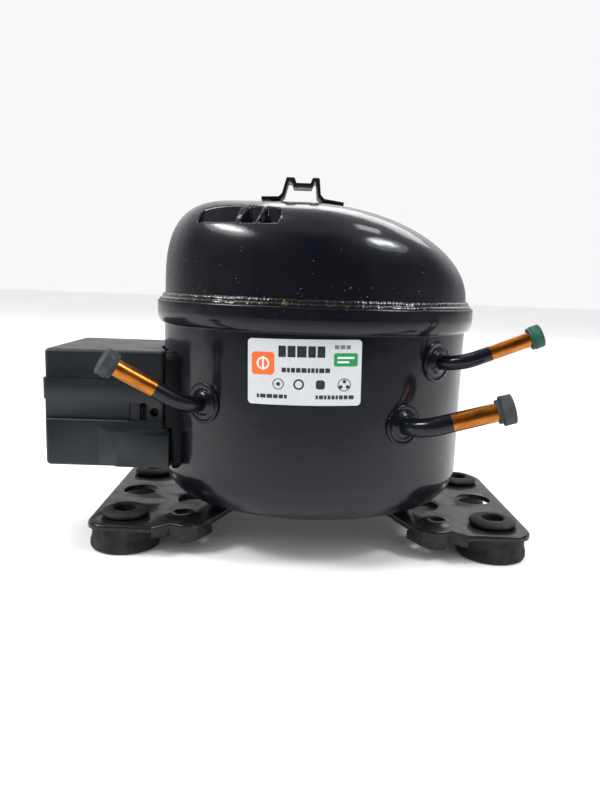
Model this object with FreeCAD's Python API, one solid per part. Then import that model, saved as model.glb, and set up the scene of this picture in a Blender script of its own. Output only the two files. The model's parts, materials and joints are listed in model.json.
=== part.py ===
"""Hermetic reciprocating compressor for a small refrigerator, built as an assembly.

A pressed steel shell in two halves stands on two foot plates with four rubber feet. Inside it, a
motor and a single-cylinder pump hang on four springs. The crankshaft drives the piston through a
slide block that runs in a cross tube on the piston (a Scotch yoke, or slide-tube drive).
Outside are three pipe stubs with rubber plugs, the electrical terminal under a plastic cover,
a clip for a drip tray, and a rating label.

Row frame, in millimetres: +Z up, origin on the floor at the centre of the four feet. +X is to
the right with the label towards -Y, and the electrical cover is on the -X side.
"""
import FreeCAD
import Part
import math
import os

V = FreeCAD.Vector
X_AXIS, Y_AXIS, Z_AXIS = V(1, 0, 0), V(0, 1, 0), V(0, 0, 1)

# ---- driving dimensions -------------------------------------------------------------------
# Feet and foot plates
MOUNT_X, MOUNT_Y = 170.0, 70.0        # hole centres of the four feet
PLATE_TOP, PLATE_T = 13.7, 2.5
FOOT_TOP, FOOT_R, FOOT_HOLE_R = 17.3, 15.8, 5.05
FOOT_NECK_R, FOOT_RING_R = 8.2, 10.7

# Shell: an ellipse in plan. A is the half-length along X, B the half-depth along Y
WALL = 3.0
BODY_A, BODY_B = 72.5, 63.2
RIM_A, RIM_B = 75.8, 66.5
COVER_A, COVER_B = 72.2, 62.9
BOTTOM_Z, BOTTOM_R = 18.0, 18.0
FLARE = ((0.4, 101.2), (1.6, 102.0), (2.5, 103.4), (3.1, 105.4), (3.3, 107.6))  # growth, height
SOCKET_Z, RIM_TOP = 102.9, 112.0      # ledge that the upper shell stands on, and the rim's top
SKIRT_Z, DOME_Z = 103.0, 112.0        # lower edge of the upper shell, and where its dome begins

# Dome profile seen from the front: a superellipse on the left, a flat top, an ellipse on the right
DOME_LEFT_X, DOME_LEFT_Z, DOME_LEFT_N = -37.0, 113.0, 2.9
DOME_RIGHT_X, DOME_RIGHT_Z, DOME_RIGHT_N = -7.3, 112.1, 1.96
DOME_TOP = 157.3
DOME_ARCH_N = 3.4                     # superellipse exponent of the dome from front to back

# Motor and pump
SHAFT_X = 3.0                         # crankshaft axis
THROW = 6.5                           # crank throw: the stroke is twice this
BORE_R = 11.5
CYL_Z = 115.0                         # height of the cylinder axis
STATOR_Z0, STATOR_Z1 = 45.0, 77.0
FRAME_Z0, FRAME_Z1 = 90.0, 95.0       # crankcase plate
HEAD_FACE_X = -41.7                   # end face of the cylinder
BOLT_X, BOLT_Y = 36.0, 32.0           # stator bolts and springs, from the shaft axis
JOURNAL_R, PIN_R = 8.0, 6.0
TUBE_R, TUBE_BORE_R, TUBE_HALF = 11.5, 9.0, 19.0
RUN = 0.02                            # radial running clearance
PISTON_L = 38.0                       # slide-tube axis to piston crown
SPRING_Z0, SPRING_Z1 = 25.0, 41.0

# Electrical side
TERMINAL_Z = 62.0
CASE_X0, CASE_X1 = -121.8, -67.2
CASE_Y0, CASE_Y1 = -32.0, 31.0
CASE_Z0, CASE_Z1 = 35.4, 88.8
CASE_WALL = 2.0

# Pipe stubs: where each leaves the shell (X on the -Y side, Z), outer radius, straight lead-out,
# tip of the pipe, bend radius, and the plug's two steps (radius, end of the step from the tip)
PIPES = {
    "suction": dict(x=-48.2, z=69.0, r=3.6, lead=11.0, tip=(-81.4, -66.4, 85.8), bend=20.0,
                    plug=((5.3, 1.5), (5.9, 5.8))),
    "discharge": dict(x=52.0, z=89.7, r=3.2, lead=11.5, tip=(87.9, -54.06, 101.4), bend=18.0,
                      plug=((4.6, 1.2), (4.95, 5.1))),
    "process": dict(x=37.6, z=63.3, r=4.0, lead=11.0, tip=(73.0, -66.5, 72.3), bend=15.0,
                    plug=((5.0, 1.8), (6.3, 6.8))),
}
PIPE_WALL, PIPE_INSIDE = 0.75, 4.5
PLUG_STEM = 7.0


# ---- small builders -----------------------------------------------------------------------
def box(x0, x1, y0, y1, z0, z1):
    return Part.makeBox(x1 - x0, y1 - y0, z1 - z0, V(x0, y0, z0))


def cyl(r, z0, z1, x=0.0, y=0.0):
    return Part.makeCylinder(r, z1 - z0, V(x, y, z0))


def rod(r, start, end):
    """A round bar between two points."""
    a, b = V(*start), V(*end)
    return Part.makeCylinder(r, (b - a).Length, a, b - a)


def ring(r_in, r_out, z0, z1, x=0.0, y=0.0):
    return cyl(r_out, z0, z1, x, y).cut(cyl(r_in, z0 - 1, z1 + 1, x, y))


def ellipse_wire(a, b, z):
    return Part.Wire([Part.Ellipse(V(0, 0, z), a, b).toShape()])


def ellipse_prism(a, b, z0, z1):
    return Part.Face(ellipse_wire(a, b, z0)).extrude(V(0, 0, z1 - z0))


def rounded_box(x0, x1, y0, y1, z0, z1, r, axis="z"):
    """A box whose four edges along one axis are rounded."""
    solid = box(x0, x1, y0, y1, z0, z1)
    index = "xyz".index(axis)
    edges = [e for e in solid.Edges
             if all(abs((e.Vertexes[1].Point - e.Vertexes[0].Point)[k]) < 1e-6
                    for k in range(3) if k != index)]
    return solid.makeFillet(r, edges)


def revolve_z(points, x=0.0, y=0.0):
    """Turns a closed profile of (radius, z) points about a vertical axis."""
    corners = [V(r, 0, z) for r, z in points]
    solid = Part.Face(Part.makePolygon(corners + corners[:1])).revolve(V(0, 0, 0), Z_AXIS, 360)
    solid.translate(V(x, y, 0))
    return solid


def fuse(shapes):
    whole = shapes[0].multiFuse(shapes[1:]) if len(shapes) > 1 else shapes[0]
    return whole.removeSplitter()


def edges_at(shape, z, tolerance=1e-3):
    """The edges that lie flat at height z."""
    return [e for e in shape.Edges
            if abs(e.BoundBox.ZMin - z) < tolerance and abs(e.BoundBox.ZMax - z) < tolerance]


def circles(shape, r):
    """The circular edges of radius r."""
    return [e for e in shape.Edges
            if e.Curve.TypeId == "Part::GeomCircle" and abs(e.Curve.Radius - r) < 1e-3]


def bent_path(points, radii):
    """A path of straight runs joined by tangent arcs, one radius for each inner point."""
    points = [V(*p) for p in points]
    edges, start = [], points[0]
    for i in range(1, len(points) - 1):
        before = (points[i - 1] - points[i]).normalize()
        after = (points[i + 1] - points[i]).normalize()
        half = before.getAngle(after) / 2
        cut = radii[i - 1] / math.tan(half)
        a, b = points[i] + before * cut, points[i] + after * cut
        centre = points[i] + (before + after).normalize() * (radii[i - 1] / math.sin(half))
        middle = centre + (points[i] - centre).normalize() * radii[i - 1]
        edges += [Part.LineSegment(start, a).toShape(), Part.Arc(a, middle, b).toShape()]
        start = b
    edges.append(Part.LineSegment(start, points[-1]).toShape())
    return Part.Wire(edges)


def sweep_round(path, r):
    first = path.OrderedEdges[0]
    profile = Part.Wire([Part.makeCircle(r, first.valueAt(first.FirstParameter),
                                         first.tangentAt(first.FirstParameter))])
    return path.makePipeShell([profile], True, False)


def mirrored_x(shape):
    return shape.mirror(V(0, 0, 0), X_AXIS)


# ---- shell --------------------------------------------------------------------------------
def lower_solid(a, b, z, r):
    """The outside or inside of the lower shell's cup, with its rounded bottom edge."""
    cup = ellipse_prism(a, b, z, SOCKET_Z + 0.5)
    return cup.makeFillet(r, edges_at(cup, z))


def shell_outside():
    return lower_solid(BODY_A, BODY_B, BOTTOM_Z, BOTTOM_R)


def dome_height(x, inset):
    """Height of the dome's ridge at x. The inset is 0 outside and the wall's thickness inside."""
    a, top = COVER_A - inset, DOME_TOP - inset
    if x < DOME_LEFT_X:
        share = min(1.0, (DOME_LEFT_X - x) / (DOME_LEFT_X + a))
        n, base = DOME_LEFT_N, DOME_LEFT_Z
    elif x > DOME_RIGHT_X:
        share = min(1.0, (x - DOME_RIGHT_X) / (a - DOME_RIGHT_X))
        n, base = DOME_RIGHT_N, DOME_RIGHT_Z
    else:
        return top
    return base + (top - base) * (1 - share ** n) ** (1 / n)


def dome_ends(z, inset):
    """The dome's lowest and highest x at height z."""
    a, top = COVER_A - inset, DOME_TOP - inset

    def end(centre, span, base, n):
        share = max(0.0, (z - base) / (top - base))
        return centre + span * (1 - share ** n) ** (1 / n)

    return (end(DOME_LEFT_X, -(DOME_LEFT_X + a), DOME_LEFT_Z, DOME_LEFT_N),
            end(DOME_RIGHT_X, a - DOME_RIGHT_X, DOME_RIGHT_Z, DOME_RIGHT_N))


def dome_section(z, inset):
    """The dome's outline at height z, as a closed smooth curve."""
    a, b = COVER_A - inset, COVER_B - inset
    x0, x1 = dome_ends(z, inset)
    count = 40
    points = []
    for i in range(count):
        turn = 2 * math.pi * i / count
        x = (x0 + x1) / 2 + (x1 - x0) / 2 * math.cos(turn)
        depth = b * math.sqrt(max(0.0, 1 - (x / a) ** 2))
        rise = (z - DOME_Z) / max(1e-9, dome_height(x, inset) - DOME_Z)
        y = depth * max(0.0, 1 - min(1.0, rise) ** DOME_ARCH_N) ** (1 / DOME_ARCH_N)
        points.append(V(x, math.copysign(y, math.sin(turn)), z))
    curve = Part.BSplineCurve()
    knots = [i / count for i in range(count + 1)]
    curve.interpolate(Points=points, PeriodicFlag=True, Parameters=knots)
    return Part.Wire([curve.toShape()])


def dome_solid(inset):
    """The filled dome: sections that close up towards the top, on a straight skirt."""
    top = DOME_TOP - inset
    steps = 11
    heights = [DOME_Z + (top - DOME_Z) * math.sin(0.476 * math.pi * i / steps)
               for i in range(steps + 1)]
    cap = Part.makeLoft([dome_section(z, inset) for z in heights], True, False)
    foot = SKIRT_Z - (5 if inset else 0)
    skirt = Part.Face(dome_section(DOME_Z, inset)).extrude(V(0, 0, foot - DOME_Z))
    return cap.fuse(skirt)


RECESS_X, RECESS_Y, RECESS_TURN = -31.0, -45.0, 20.0   # where the recess is, and its facing
RECESS_FLOOR, RECESS_LOW, RECESS_HIGH = 145.0, -1.5, -10.0  # floor, wall depth at floor and at top
RECESS_BAYS = ((-23.5, -3.9), (-1.1, 5.6), (7.1, 15.0))
RECESS_TOP, RECESS_CORNER = 155.0, 8.5                 # the outline's top and its corner radius


def recess_bay(u0, u1, grow):
    """One bay of the dome's recess: level floor, leaning wall, within one rounded outline."""
    floor, top, out = RECESS_FLOOR - grow, RECESS_FLOOR + 16, 30.0
    low, high = RECESS_LOW - grow, RECESS_HIGH - grow
    profile = [V(u0 - grow, -out, floor), V(u0 - grow, -low, floor), V(u0 - grow, -high, top),
               V(u0 - grow, -out, top)]
    bay = Part.Face(Part.makePolygon(profile + profile[:1])).extrude(V(u1 - u0 + 2 * grow, 0, 0))
    slope = math.hypot(high - low, top - floor)
    bay = bay.makeFillet(1.6 + grow / 2, [e for e in bay.Edges if abs(e.Length - slope) < 1e-6])
    outline = rounded_box(RECESS_BAYS[0][0] - grow, RECESS_BAYS[-1][1] + grow, -out - 5, 25,
                          floor - 22, RECESS_TOP + grow, RECESS_CORNER + grow, "y")
    bay = bay.common(outline)
    bay.rotate(V(0, 0, 0), Z_AXIS, -RECESS_TURN)
    bay.translate(V(RECESS_X, RECESS_Y, 0))
    return bay


def dimple(grow):
    """The pressed recess at the dome's front left: three bays, or one block behind them all."""
    if grow:
        return [recess_bay(RECESS_BAYS[0][0], RECESS_BAYS[-1][1], grow)]
    return [recess_bay(u0, u1, 0.0) for u0, u1 in RECESS_BAYS]


def make_upper_shell():
    outside, inside = dome_solid(0.0), dome_solid(WALL)
    shell = outside.cut(inside)
    for block in dimple(2.4):
        shell = shell.fuse(block.common(outside))
    for block in dimple(0.0):
        shell = shell.cut(block)
    return shell


def make_lower_shell():
    outside = shell_outside()
    flare = Part.makeLoft([ellipse_wire(BODY_A + grow, BODY_B + grow, z) for grow, z in FLARE],
                          True, True)
    rim = ellipse_prism(RIM_A, RIM_B, FLARE[-1][1], RIM_TOP)
    rim = rim.makeFillet(1.2, edges_at(rim, RIM_TOP))
    whole = outside.fuse(flare).fuse(rim)
    inside = lower_solid(BODY_A - WALL, BODY_B - WALL, BOTTOM_Z + WALL, BOTTOM_R - WALL)
    socket = ellipse_prism(COVER_A + 0.1, COVER_B + 0.1, SOCKET_Z, RIM_TOP + 1)
    whole = whole.cut(inside).cut(socket)
    for pipe in PIPES.values():
        centre, out = pipe_seat(pipe)
        whole = whole.cut(rod(pipe["r"], centre - out * 12, centre + out * 6))
    hole = rod(HEADER_R, (-BODY_A - 5, 0, TERMINAL_Z), (-BODY_A + 12, 0, TERMINAL_Z))
    return whole.cut(hole)


def make_seam_weld():
    """The bead that fills the corner between the rim's top and the upper shell."""
    outer = Part.makeLoft([ellipse_wire(RIM_A - 1.4, RIM_B - 1.4, RIM_TOP),
                           ellipse_wire(RIM_A - 1.9, RIM_B - 1.9, RIM_TOP + 1.7),
                           ellipse_wire(COVER_A + 0.4, COVER_B + 0.4, RIM_TOP + 3.4)], True, True)
    return outer.cut(ellipse_prism(COVER_A + 0.02, COVER_B + 0.02, SKIRT_Z, RIM_TOP + 9))


def pipe_seat(pipe):
    """Where a pipe meets the shell, and the shell's outward normal there."""
    x = pipe["x"]
    y = -BODY_B * math.sqrt(1 - (x / BODY_A) ** 2)
    out = V(x / BODY_A ** 2, y / BODY_B ** 2, 0).normalize()
    return V(x, y, pipe["z"]), out


def pipe_points(pipe):
    centre, out = pipe_seat(pipe)
    return centre - out * PIPE_INSIDE, centre + out * pipe["lead"], V(*pipe["tip"])


def pipe_axis(pipe):
    """The direction of the pipe's straight end, outwards, and that straight end's length."""
    start, corner, tip = pipe_points(pipe)
    along = (tip - corner).normalize()
    half = (start - corner).getAngle(tip - corner) / 2
    return along, (tip - corner).Length - pipe["bend"] / math.tan(half)


def make_pipe(pipe):
    path = bent_path(pipe_points(pipe), [pipe["bend"]])
    return sweep_round(path, pipe["r"]).cut(sweep_round(path, pipe["r"] - PIPE_WALL))


def make_collar(pipe, outside):
    """A stepped ring, welded round the pipe on the shell's surface."""
    centre, out = pipe_seat(pipe)
    steps = ((8.8, 0.9), (pipe["r"] + 1.7, 2.4))
    body = fuse([rod(r, centre - out * 2, centre + out * h) for r, h in steps])
    rims = [e for r, h in steps for e in circles(body, r)
            if abs((e.Curve.Center - centre).dot(out) - h) < 1e-3]
    body = body.makeFillet(0.4, rims)
    return body.cut(outside).cut(rod(pipe["r"], centre - out * 3, centre + out * 6))


def make_plug(pipe):
    """A rubber transport plug: a stem in the pipe, and a stepped round head."""
    along, _ = pipe_axis(pipe)
    tip = V(*pipe["tip"])
    stem_r = pipe["r"] - PIPE_WALL - 0.05
    (r1, h1), (r2, h2) = pipe["plug"]
    shoulder = Part.makeCylinder(r1, h1, tip, along)
    knob = Part.makeCylinder(r2, h2 - h1 + 0.5, tip + along * (h1 - 0.5), along)
    head = fuse([step.makeFillet(0.45, circles(step, r)) for step, r in ((shoulder, r1), (knob, r2))])
    stem = Part.makeCylinder(stem_r, PLUG_STEM + 2, tip - along * PLUG_STEM, along)
    return fuse([head, stem])


# ---- foot plates, feet, clip and label ----------------------------------------------------
LOBE_EDGE = [(70.0, -51.6), (63.0, -45.5), (57.0, -48.0), (50.5, -45.8), (44.6, -39.2)]
LOBE_INNER = [(70.0, -48.4), (63.0, -42.7), (57.0, -45.3), (52.0, -43.4), (46.8, -37.8)]
SKIRT_STEP_OUTER = [(60.5, 4.0), (61.8, 7.6), (72.0, 8.4), (72.0, 4.0)]    # cut from the skirts
SKIRT_STEP_INNER = [(54.0, 5.2), (43.0, 7.8), (43.0, 4.0), (54.0, 4.0)]
RAMP_TOP = [(29.0, 18.0), (34.0, 18.0), (37.5, 17.4), (41.0, 15.6), (44.5, 14.3), (48.0, 13.7)]
BOSS_X, BOSS_Y, BOSS_HOLE_R = 59.5, 33.0, 3.2


def plate_outline():
    """The right-hand plate seen from above: wide at the feet, narrower under the shell."""
    corner = [(91.0 + 9.0 * math.cos(math.radians(t)), -42.0 - 9.0 * math.sin(math.radians(t)))
              for t in range(0, 91, 15)]
    front = corner + LOBE_EDGE + [(36.0, -31.5), (30.0, -26.0)]
    return [(x, -y) for x, y in front[::-1]] + front


def flat(points, z0, z1):
    corners = [V(x, y, z0) for x, y in points]
    return Part.Face(Part.makePolygon(corners + corners[:1])).extrude(V(0, 0, z1 - z0))


def make_base_plate():
    """A pressed plate whose inner end ramps up to the shell's bottom, where it is welded."""
    low = PLATE_TOP - PLATE_T
    split = RAMP_TOP[-1][0]
    level = flat(plate_outline(), low, PLATE_TOP).common(box(split, 101, -60, 60, low, PLATE_TOP))
    rims = [e for e in edges_at(level, PLATE_TOP) if e.BoundBox.XMax > split + 0.1]
    level = level.makeFillet(1.2, rims)
    bottom = [(x, z - PLATE_T) for x, z in RAMP_TOP[::-1]]
    profile = [V(x, -60, z) for x, z in RAMP_TOP + bottom]
    ramp = Part.Face(Part.makePolygon(profile + profile[:1])).extrude(V(0, 120, 0))
    ramp = ramp.common(flat(plate_outline(), 0, 30))
    skirts = []
    for side in (1, -1):
        band = flat([(x, side * y) for x, y in LOBE_EDGE + LOBE_INNER[::-1]], 5.2, low)
        for step in (SKIRT_STEP_OUTER, SKIRT_STEP_INNER):
            corners = [V(x, -60, z) for x, z in step + step[:1]]
            band = band.cut(Part.Face(Part.makePolygon(corners)).extrude(V(0, 120, 0)))
        skirts.append(band)
    top = PLATE_TOP + 0.9
    bosses = [revolve_z([(0, low), (8.6, low), (8.6, PLATE_TOP), (5.6, top), (0, top)], BOSS_X, y)
              for y in (-BOSS_Y, BOSS_Y)]
    plate = fuse([level, ramp] + skirts + bosses)
    holes = [cyl(FOOT_NECK_R, 0, 20, MOUNT_X / 2, y) for y in (-MOUNT_Y / 2, MOUNT_Y / 2)]
    holes += [cyl(8.5, 0, 20, 86, 2.5)]
    holes += [cyl(7.8, 0, 15.5, 57.0, y) for y in (-11, 11)]
    holes += [cyl(BOSS_HOLE_R, 0, 20, BOSS_X, y) for y in (-BOSS_Y, BOSS_Y)]
    for hole in holes:
        plate = plate.cut(hole)
    return plate


def make_foot(x, y):
    """A rubber grommet: a wide waisted foot, a neck in the plate, a ring on top, and a bolt hole."""
    low, r = PLATE_TOP - PLATE_T, FOOT_R
    ring_r = FOOT_RING_R
    profile = [(FOOT_HOLE_R, 0), (r - 0.8, 0), (r, 0.8), (r, 2.4), (r - 0.7, 5.0), (r - 0.9, 7.5),
               (r - 0.6, low), (FOOT_NECK_R, low), (FOOT_NECK_R, PLATE_TOP),
               (ring_r - 1.1, PLATE_TOP), (ring_r, PLATE_TOP + 1.2), (ring_r, PLATE_TOP + 1.8),
               (ring_r - 0.9, PLATE_TOP + 2.6), (ring_r - 3.4, FOOT_TOP), (FOOT_HOLE_R, FOOT_TOP)]
    return revolve_z(profile, x, y)


def make_tray_clip(outside_dome):
    """A bent steel strip, welded to the dome by its two feet, with a dip along its top."""
    t, y0, y1 = 1.4, -22.0, -6.0
    line = [(-26.5, 158.2), (-18.6, 158.5), (-16.8, 160.2), (-15.0, 166.8), (-12.4, 166.8),
            (-11.6, 164.5), (-4.3, 164.5), (-3.4, 166.9), (-1.4, 166.9), (-0.7, 160.2),
            (1.2, 158.1), (10.4, 156.8)]
    pieces = []
    for (x0, z0), (x1, z1) in zip(line, line[1:]):
        run = V(x1 - x0, 0, z1 - z0)
        side = V(-run.z, 0, run.x).normalize() * (t / 2)
        a, b = V(x0, y0, z0), V(x1, y0, z1)
        face = Part.Face(Part.makePolygon([a - side, b - side, b + side, a + side, a - side]))
        pieces.append(face.extrude(V(0, y1 - y0, 0)))
    pieces += [Part.makeCylinder(t / 2, y1 - y0, V(x, y0, z), Y_AXIS) for x, z in line[1:-1]]
    return fuse(pieces).cut(outside_dome)


def make_label():
    """A thin label that follows the shell's front."""
    skin = ellipse_prism(BODY_A + 0.25, BODY_B + 0.25, 70, 101)
    skin = skin.cut(ellipse_prism(BODY_A, BODY_B, 60, 110))
    patch = rounded_box(-28.9, 17.4, -80, -40, 72.5, 99.5, 1.6, "y")
    patch.rotate(V(17.4, 0, 99.5), Y_AXIS, -1.2)           # it is stuck on a little crooked
    return skin.common(patch)


# ---- electrical side ----------------------------------------------------------------------
HEADER_R = 11.0
PIN_SPOTS = ((0.0, 6.0), (-6.2, -4.2), (6.2, -4.2))    # pin places from the header's centre
PIN_METAL_R, GLASS_R = 1.15, 2.6
HEADER_X = -BODY_A + 0.2                               # outer face of the header's disc


def header_rods(r, x0, x1):
    return [rod(r, (x0, y, TERMINAL_Z + z), (x1, y, TERMINAL_Z + z)) for y, z in PIN_SPOTS]


def make_terminal_header():
    """The steel cup that carries the three pins through the shell's wall."""
    x0, x1 = HEADER_X, HEADER_X + 5.0
    cup = rod(HEADER_R - 0.05, (x0, 0, TERMINAL_Z), (x1, 0, TERMINAL_Z))
    hollow = rod(HEADER_R - 2.0, (x0 - 1, 0, TERMINAL_Z), (x0 + 2.6, 0, TERMINAL_Z))
    return cup.cut(hollow).cut(Part.makeCompound(header_rods(GLASS_R, x0 - 1, x1 + 1)))


def make_terminal_glass():
    beads = []
    for bead, hole in zip(header_rods(GLASS_R, HEADER_X + 1.6, HEADER_X + 5.6),
                          header_rods(PIN_METAL_R, HEADER_X - 9, HEADER_X + 9)):
        beads.append(bead.cut(hole))
    return Part.makeCompound(beads)


def make_terminal_pins():
    return Part.makeCompound(header_rods(PIN_METAL_R, HEADER_X - 13, HEADER_X + 11))


def make_terminal_bracket(outside):
    """The frame welded to the shell that the cover clips on to."""
    z0, z1 = CASE_Z0 - 0.3, CASE_Z1 + 0.4
    flange = rounded_box(-66.6, -54.5, -36.0, 36.0, z0, z1, 5.0, "x")
    flange = flange.cut(rounded_box(-75.0, -50.0, -27.6, 27.6, z0 + 4.2, z1 - 4.2, 2.0, "x"))
    flange = flange.cut(box(-71.0, -63.8, -40.0, -27.0, z0 - 1, 54.8))
    gap = CASE_WALL + 0.4
    fence = rounded_box(-77.0, -58.0, CASE_Y0 + gap, CASE_Y1 - gap, CASE_Z0 + gap, CASE_Z1 - gap,
                        2.5, "x")
    fence = fence.cut(rounded_box(-80.0, -50.0, -27.6, 27.0, CASE_Z0 + gap + 1.8,
                                  CASE_Z1 - gap - 1.8, 1.5, "x"))
    lug = box(-69.8, -67.6, 18.0, 28.2, 42.0, 54.0)
    frame = fuse([flange, fence, lug])
    slots = [box(-72, -50, y - 1.5, y + 1.5, z, z + 8) for y in (-33.2, 33.2) for z in (58, 74)]
    frame = frame.cut(Part.makeCompound(slots))
    frame = frame.cut(rod(1.7, (-75, 23, 48), (-60, 23, 48)))
    return frame.cut(outside)


def make_earth_screw():
    shank = rod(1.7, (-71, 23, 48), (-68.6, 23, 48))
    head = rod(3.6, (-72.4, 23, 48), (-69.8, 23, 48))
    head = head.makeFillet(0.8, [e for e in circles(head, 3.6) if e.BoundBox.XMax < -72])
    cross = [box(-73, -71.2, 20.8, 25.2, 47.6, 48.4), box(-73, -71.2, 22.6, 23.4, 45.8, 50.2)]
    return fuse([shank, head]).cut(Part.makeCompound(cross))


def make_starter():
    """The PTC starter: a flat box that plugs on to the lower two pins."""
    body = rounded_box(-94.0, -78.0, -17.0, 17.0, 40.5, 61.5, 2.0, "x")
    nose = rounded_box(-98.0, -94.0, -12.0, -2.0, 44.0, 57.0, 1.5, "x")
    tab = box(-103.0, -94.0, 5.0, 11.0, 50.0, 50.8)
    vents = [box(-95.0, -92.6, y, y + 1.2, 43.0, 58.0) for y in (2.0, 13.0)]
    holes = header_rods(PIN_METAL_R + 0.05, HEADER_X - 14, HEADER_X)
    return fuse([body, nose, tab]).cut(Part.makeCompound(holes + vents))


def make_protector():
    """The thermal overload protector: a round can on the upper pin."""
    z = TERMINAL_Z + 11.6
    can = rod(9.4, (-91.0, 0, z), (-79.5, 0, z))
    can = can.makeFillet(1.4, [e for e in circles(can, 9.4) if e.BoundBox.XMax < -90])
    cap = rod(10.0, (-81.6, 0, z), (-78.6, 0, z))
    tab = box(-97.5, -90.5, 2.0, 8.0, z + 2.0, z + 2.8)
    holes = header_rods(PIN_METAL_R + 0.05, HEADER_X - 14, HEADER_X)
    floor = box(-100, -70, -20, 20, 40, 61.8)
    return fuse([can, cap, tab]).cut(Part.makeCompound(holes)).cut(floor)


def make_protector_lead():
    """The insulated wire from the protector's tab to the starter's tab."""
    path = bent_path([(-97.5, 5.0, 76.0), (-104.0, 5.0, 76.0), (-107.5, 8.0, 62.0),
                      (-107.5, 8.0, 50.4), (-103.0, 8.0, 50.4)], [3.2, 4.0, 2.2])
    return sweep_round(path, 1.1)


def make_terminal_cover(outside):
    """The plastic cover: an open box with stepped sides, grip slots and a cable outlet."""
    y0, y1, z0, z1 = CASE_Y0, CASE_Y1, CASE_Z0, CASE_Z1
    tiers = [(z0, 57.0, -1.4, 0.0), (57.0, 66.0, 0.0, 0.4), (66.0, 75.6, -0.8, 0.8),
             (75.6, z1, 0.2, 0.0)]                     # from, to, front face offset, left bulge
    solids = [rounded_box(CASE_X0 - bulge, CASE_X1, y0 + step, y1, low, high + 0.01, 2.4, "z")
              for low, high, step, bulge in tiers]
    body = fuse(solids)
    body = body.makeFillet(2.0, edges_at(body, z1 + 0.01, 0.02))
    body = body.makeFillet(2.0, edges_at(body, z0))
    boss = flat([(-97.4, y0 - 1.4), (-87.4, y0 - 7.6), (-64.6, y0 - 7.6), (-64.6, y0 + 4),
                 (-97.4, y0 + 4)], z0 + 1.8, 55.0)
    side = [V(-99, y, z) for y, z in ((y0 + 5, z0), (y0 + 5, 53.8), (y0 - 1.4, 53.8),
                                      (y0 - 7.7, 52.0), (y0 - 7.7, z0))]
    boss = boss.common(Part.Face(Part.makePolygon(side + side[:1])).extrude(V(40, 0, 0)))
    body = fuse([body, boss])
    room = box(CASE_X0 + CASE_WALL, CASE_X1 + 9, y0 + CASE_WALL, y1 - CASE_WALL,
               z0 + CASE_WALL, z1 - CASE_WALL)
    boss_room = flat([(-94.6, y0 + 3), (-86.8, y0 - 5.6), (-60.0, y0 - 5.6), (-60.0, y0 + 5)],
                     z0 + 1.8 + CASE_WALL, 50.2)
    cuts = [room, boss_room,
            box(CASE_X0 - 2, -83.9, y0 - 2, y0 + 0.9, 57.0, 66.0),       # finger recess
            box(-83.9, -82.6, y0 - 2, y0 + 1.5, 57.4, 65.4),
            rounded_box(-78.9, -75.7, y0 - 2, y0 + 5, 57.4, 65.2, 0.8, "y"),
            Part.makeCylinder(2.0, 6, V(-72.2, y0 - 3, 61.2), Y_AXIS),
            rounded_box(-114.0, -102.0, 12.0, 24.0, z0 - 2, z0 + 4, 3.0, "z"),   # cable outlet
            ellipse_prism(BODY_A + 1.2, BODY_B + 1.2, z0 - 5, z1 + 5)]
    for block in cuts:
        body = body.cut(block)
    ribs = [box(CASE_X0 + 1.5, -78.2, y, y + 1.2, z1 - 5.0, z1 - 1.5) for y in (-16.0, 14.0)]
    return fuse([body] + ribs)


# ---- motor --------------------------------------------------------------------------------
SLOTS = 24
SLOT_R0, SLOT_R1, SLOT_W = 28.2, 39.6, 4.2
ROTOR_R, STATOR_BORE = 26.0, 26.3
CAGE_BARS, CAGE_R, BAR_R = 18, 22.9, 1.7


def around(shape, count, x=SHAFT_X):
    """Copies of a shape, evenly turned about the shaft's axis."""
    copies = []
    for i in range(count):
        copy = shape.copy()
        copy.rotate(V(x, 0, 0), Z_AXIS, 360 * i / count)
        copies.append(copy)
    return Part.makeCompound(copies)


def corner_spots():
    return [(SHAFT_X + sx * BOLT_X, sy * BOLT_Y) for sx in (-1, 1) for sy in (-1, 1)]


def make_stator_core():
    x = SHAFT_X
    core = rounded_box(x - 48, x + 48, -44, 44, STATOR_Z0, STATOR_Z1, 12.0)
    core = core.cut(cyl(STATOR_BORE, STATOR_Z0 - 1, STATOR_Z1 + 1, x))
    slot = box(x + SLOT_R0, x + SLOT_R1, -SLOT_W / 2, SLOT_W / 2, STATOR_Z0 - 1, STATOR_Z1 + 1)
    mouth = box(x + STATOR_BORE - 1, x + SLOT_R0 + 0.2, -0.9, 0.9, STATOR_Z0 - 1, STATOR_Z1 + 1)
    core = core.cut(around(slot.fuse(mouth), SLOTS))
    return core.cut(Part.makeCompound([cyl(2.6, 0, 100, bx, by) for bx, by in corner_spots()]))


def make_windings():
    """The copper end turns, above and below the core, with the bars that fill the slots."""
    x = SHAFT_X
    turns = []
    for z0, z1 in ((34.5, STATOR_Z0 - 0.3), (STATOR_Z1 + 0.3, 87.6)):
        hoop = ring(SLOT_R0 + 0.3, SLOT_R1 + 0.8, z0, z1, x)
        turns.append(hoop.makeFillet(2.5, circles(hoop, SLOT_R1 + 0.8)))
    bar = box(x + SLOT_R0 + 0.5, x + SLOT_R1 - 0.3, -SLOT_W / 2 + 0.3, SLOT_W / 2 - 0.3,
              STATOR_Z0 - 1, STATOR_Z1 + 1)
    return fuse(turns + around(bar, SLOTS).Solids)


def make_rotor_core():
    x = SHAFT_X
    core = cyl(ROTOR_R, STATOR_Z0, STATOR_Z1, x).cut(cyl(JOURNAL_R, 0, 100, x))
    core = core.cut(cyl(15.0, 66.0, STATOR_Z1 + 1, x))
    return core.cut(around(cyl(BAR_R, 0, 100, x + CAGE_R), CAGE_BARS))


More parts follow.
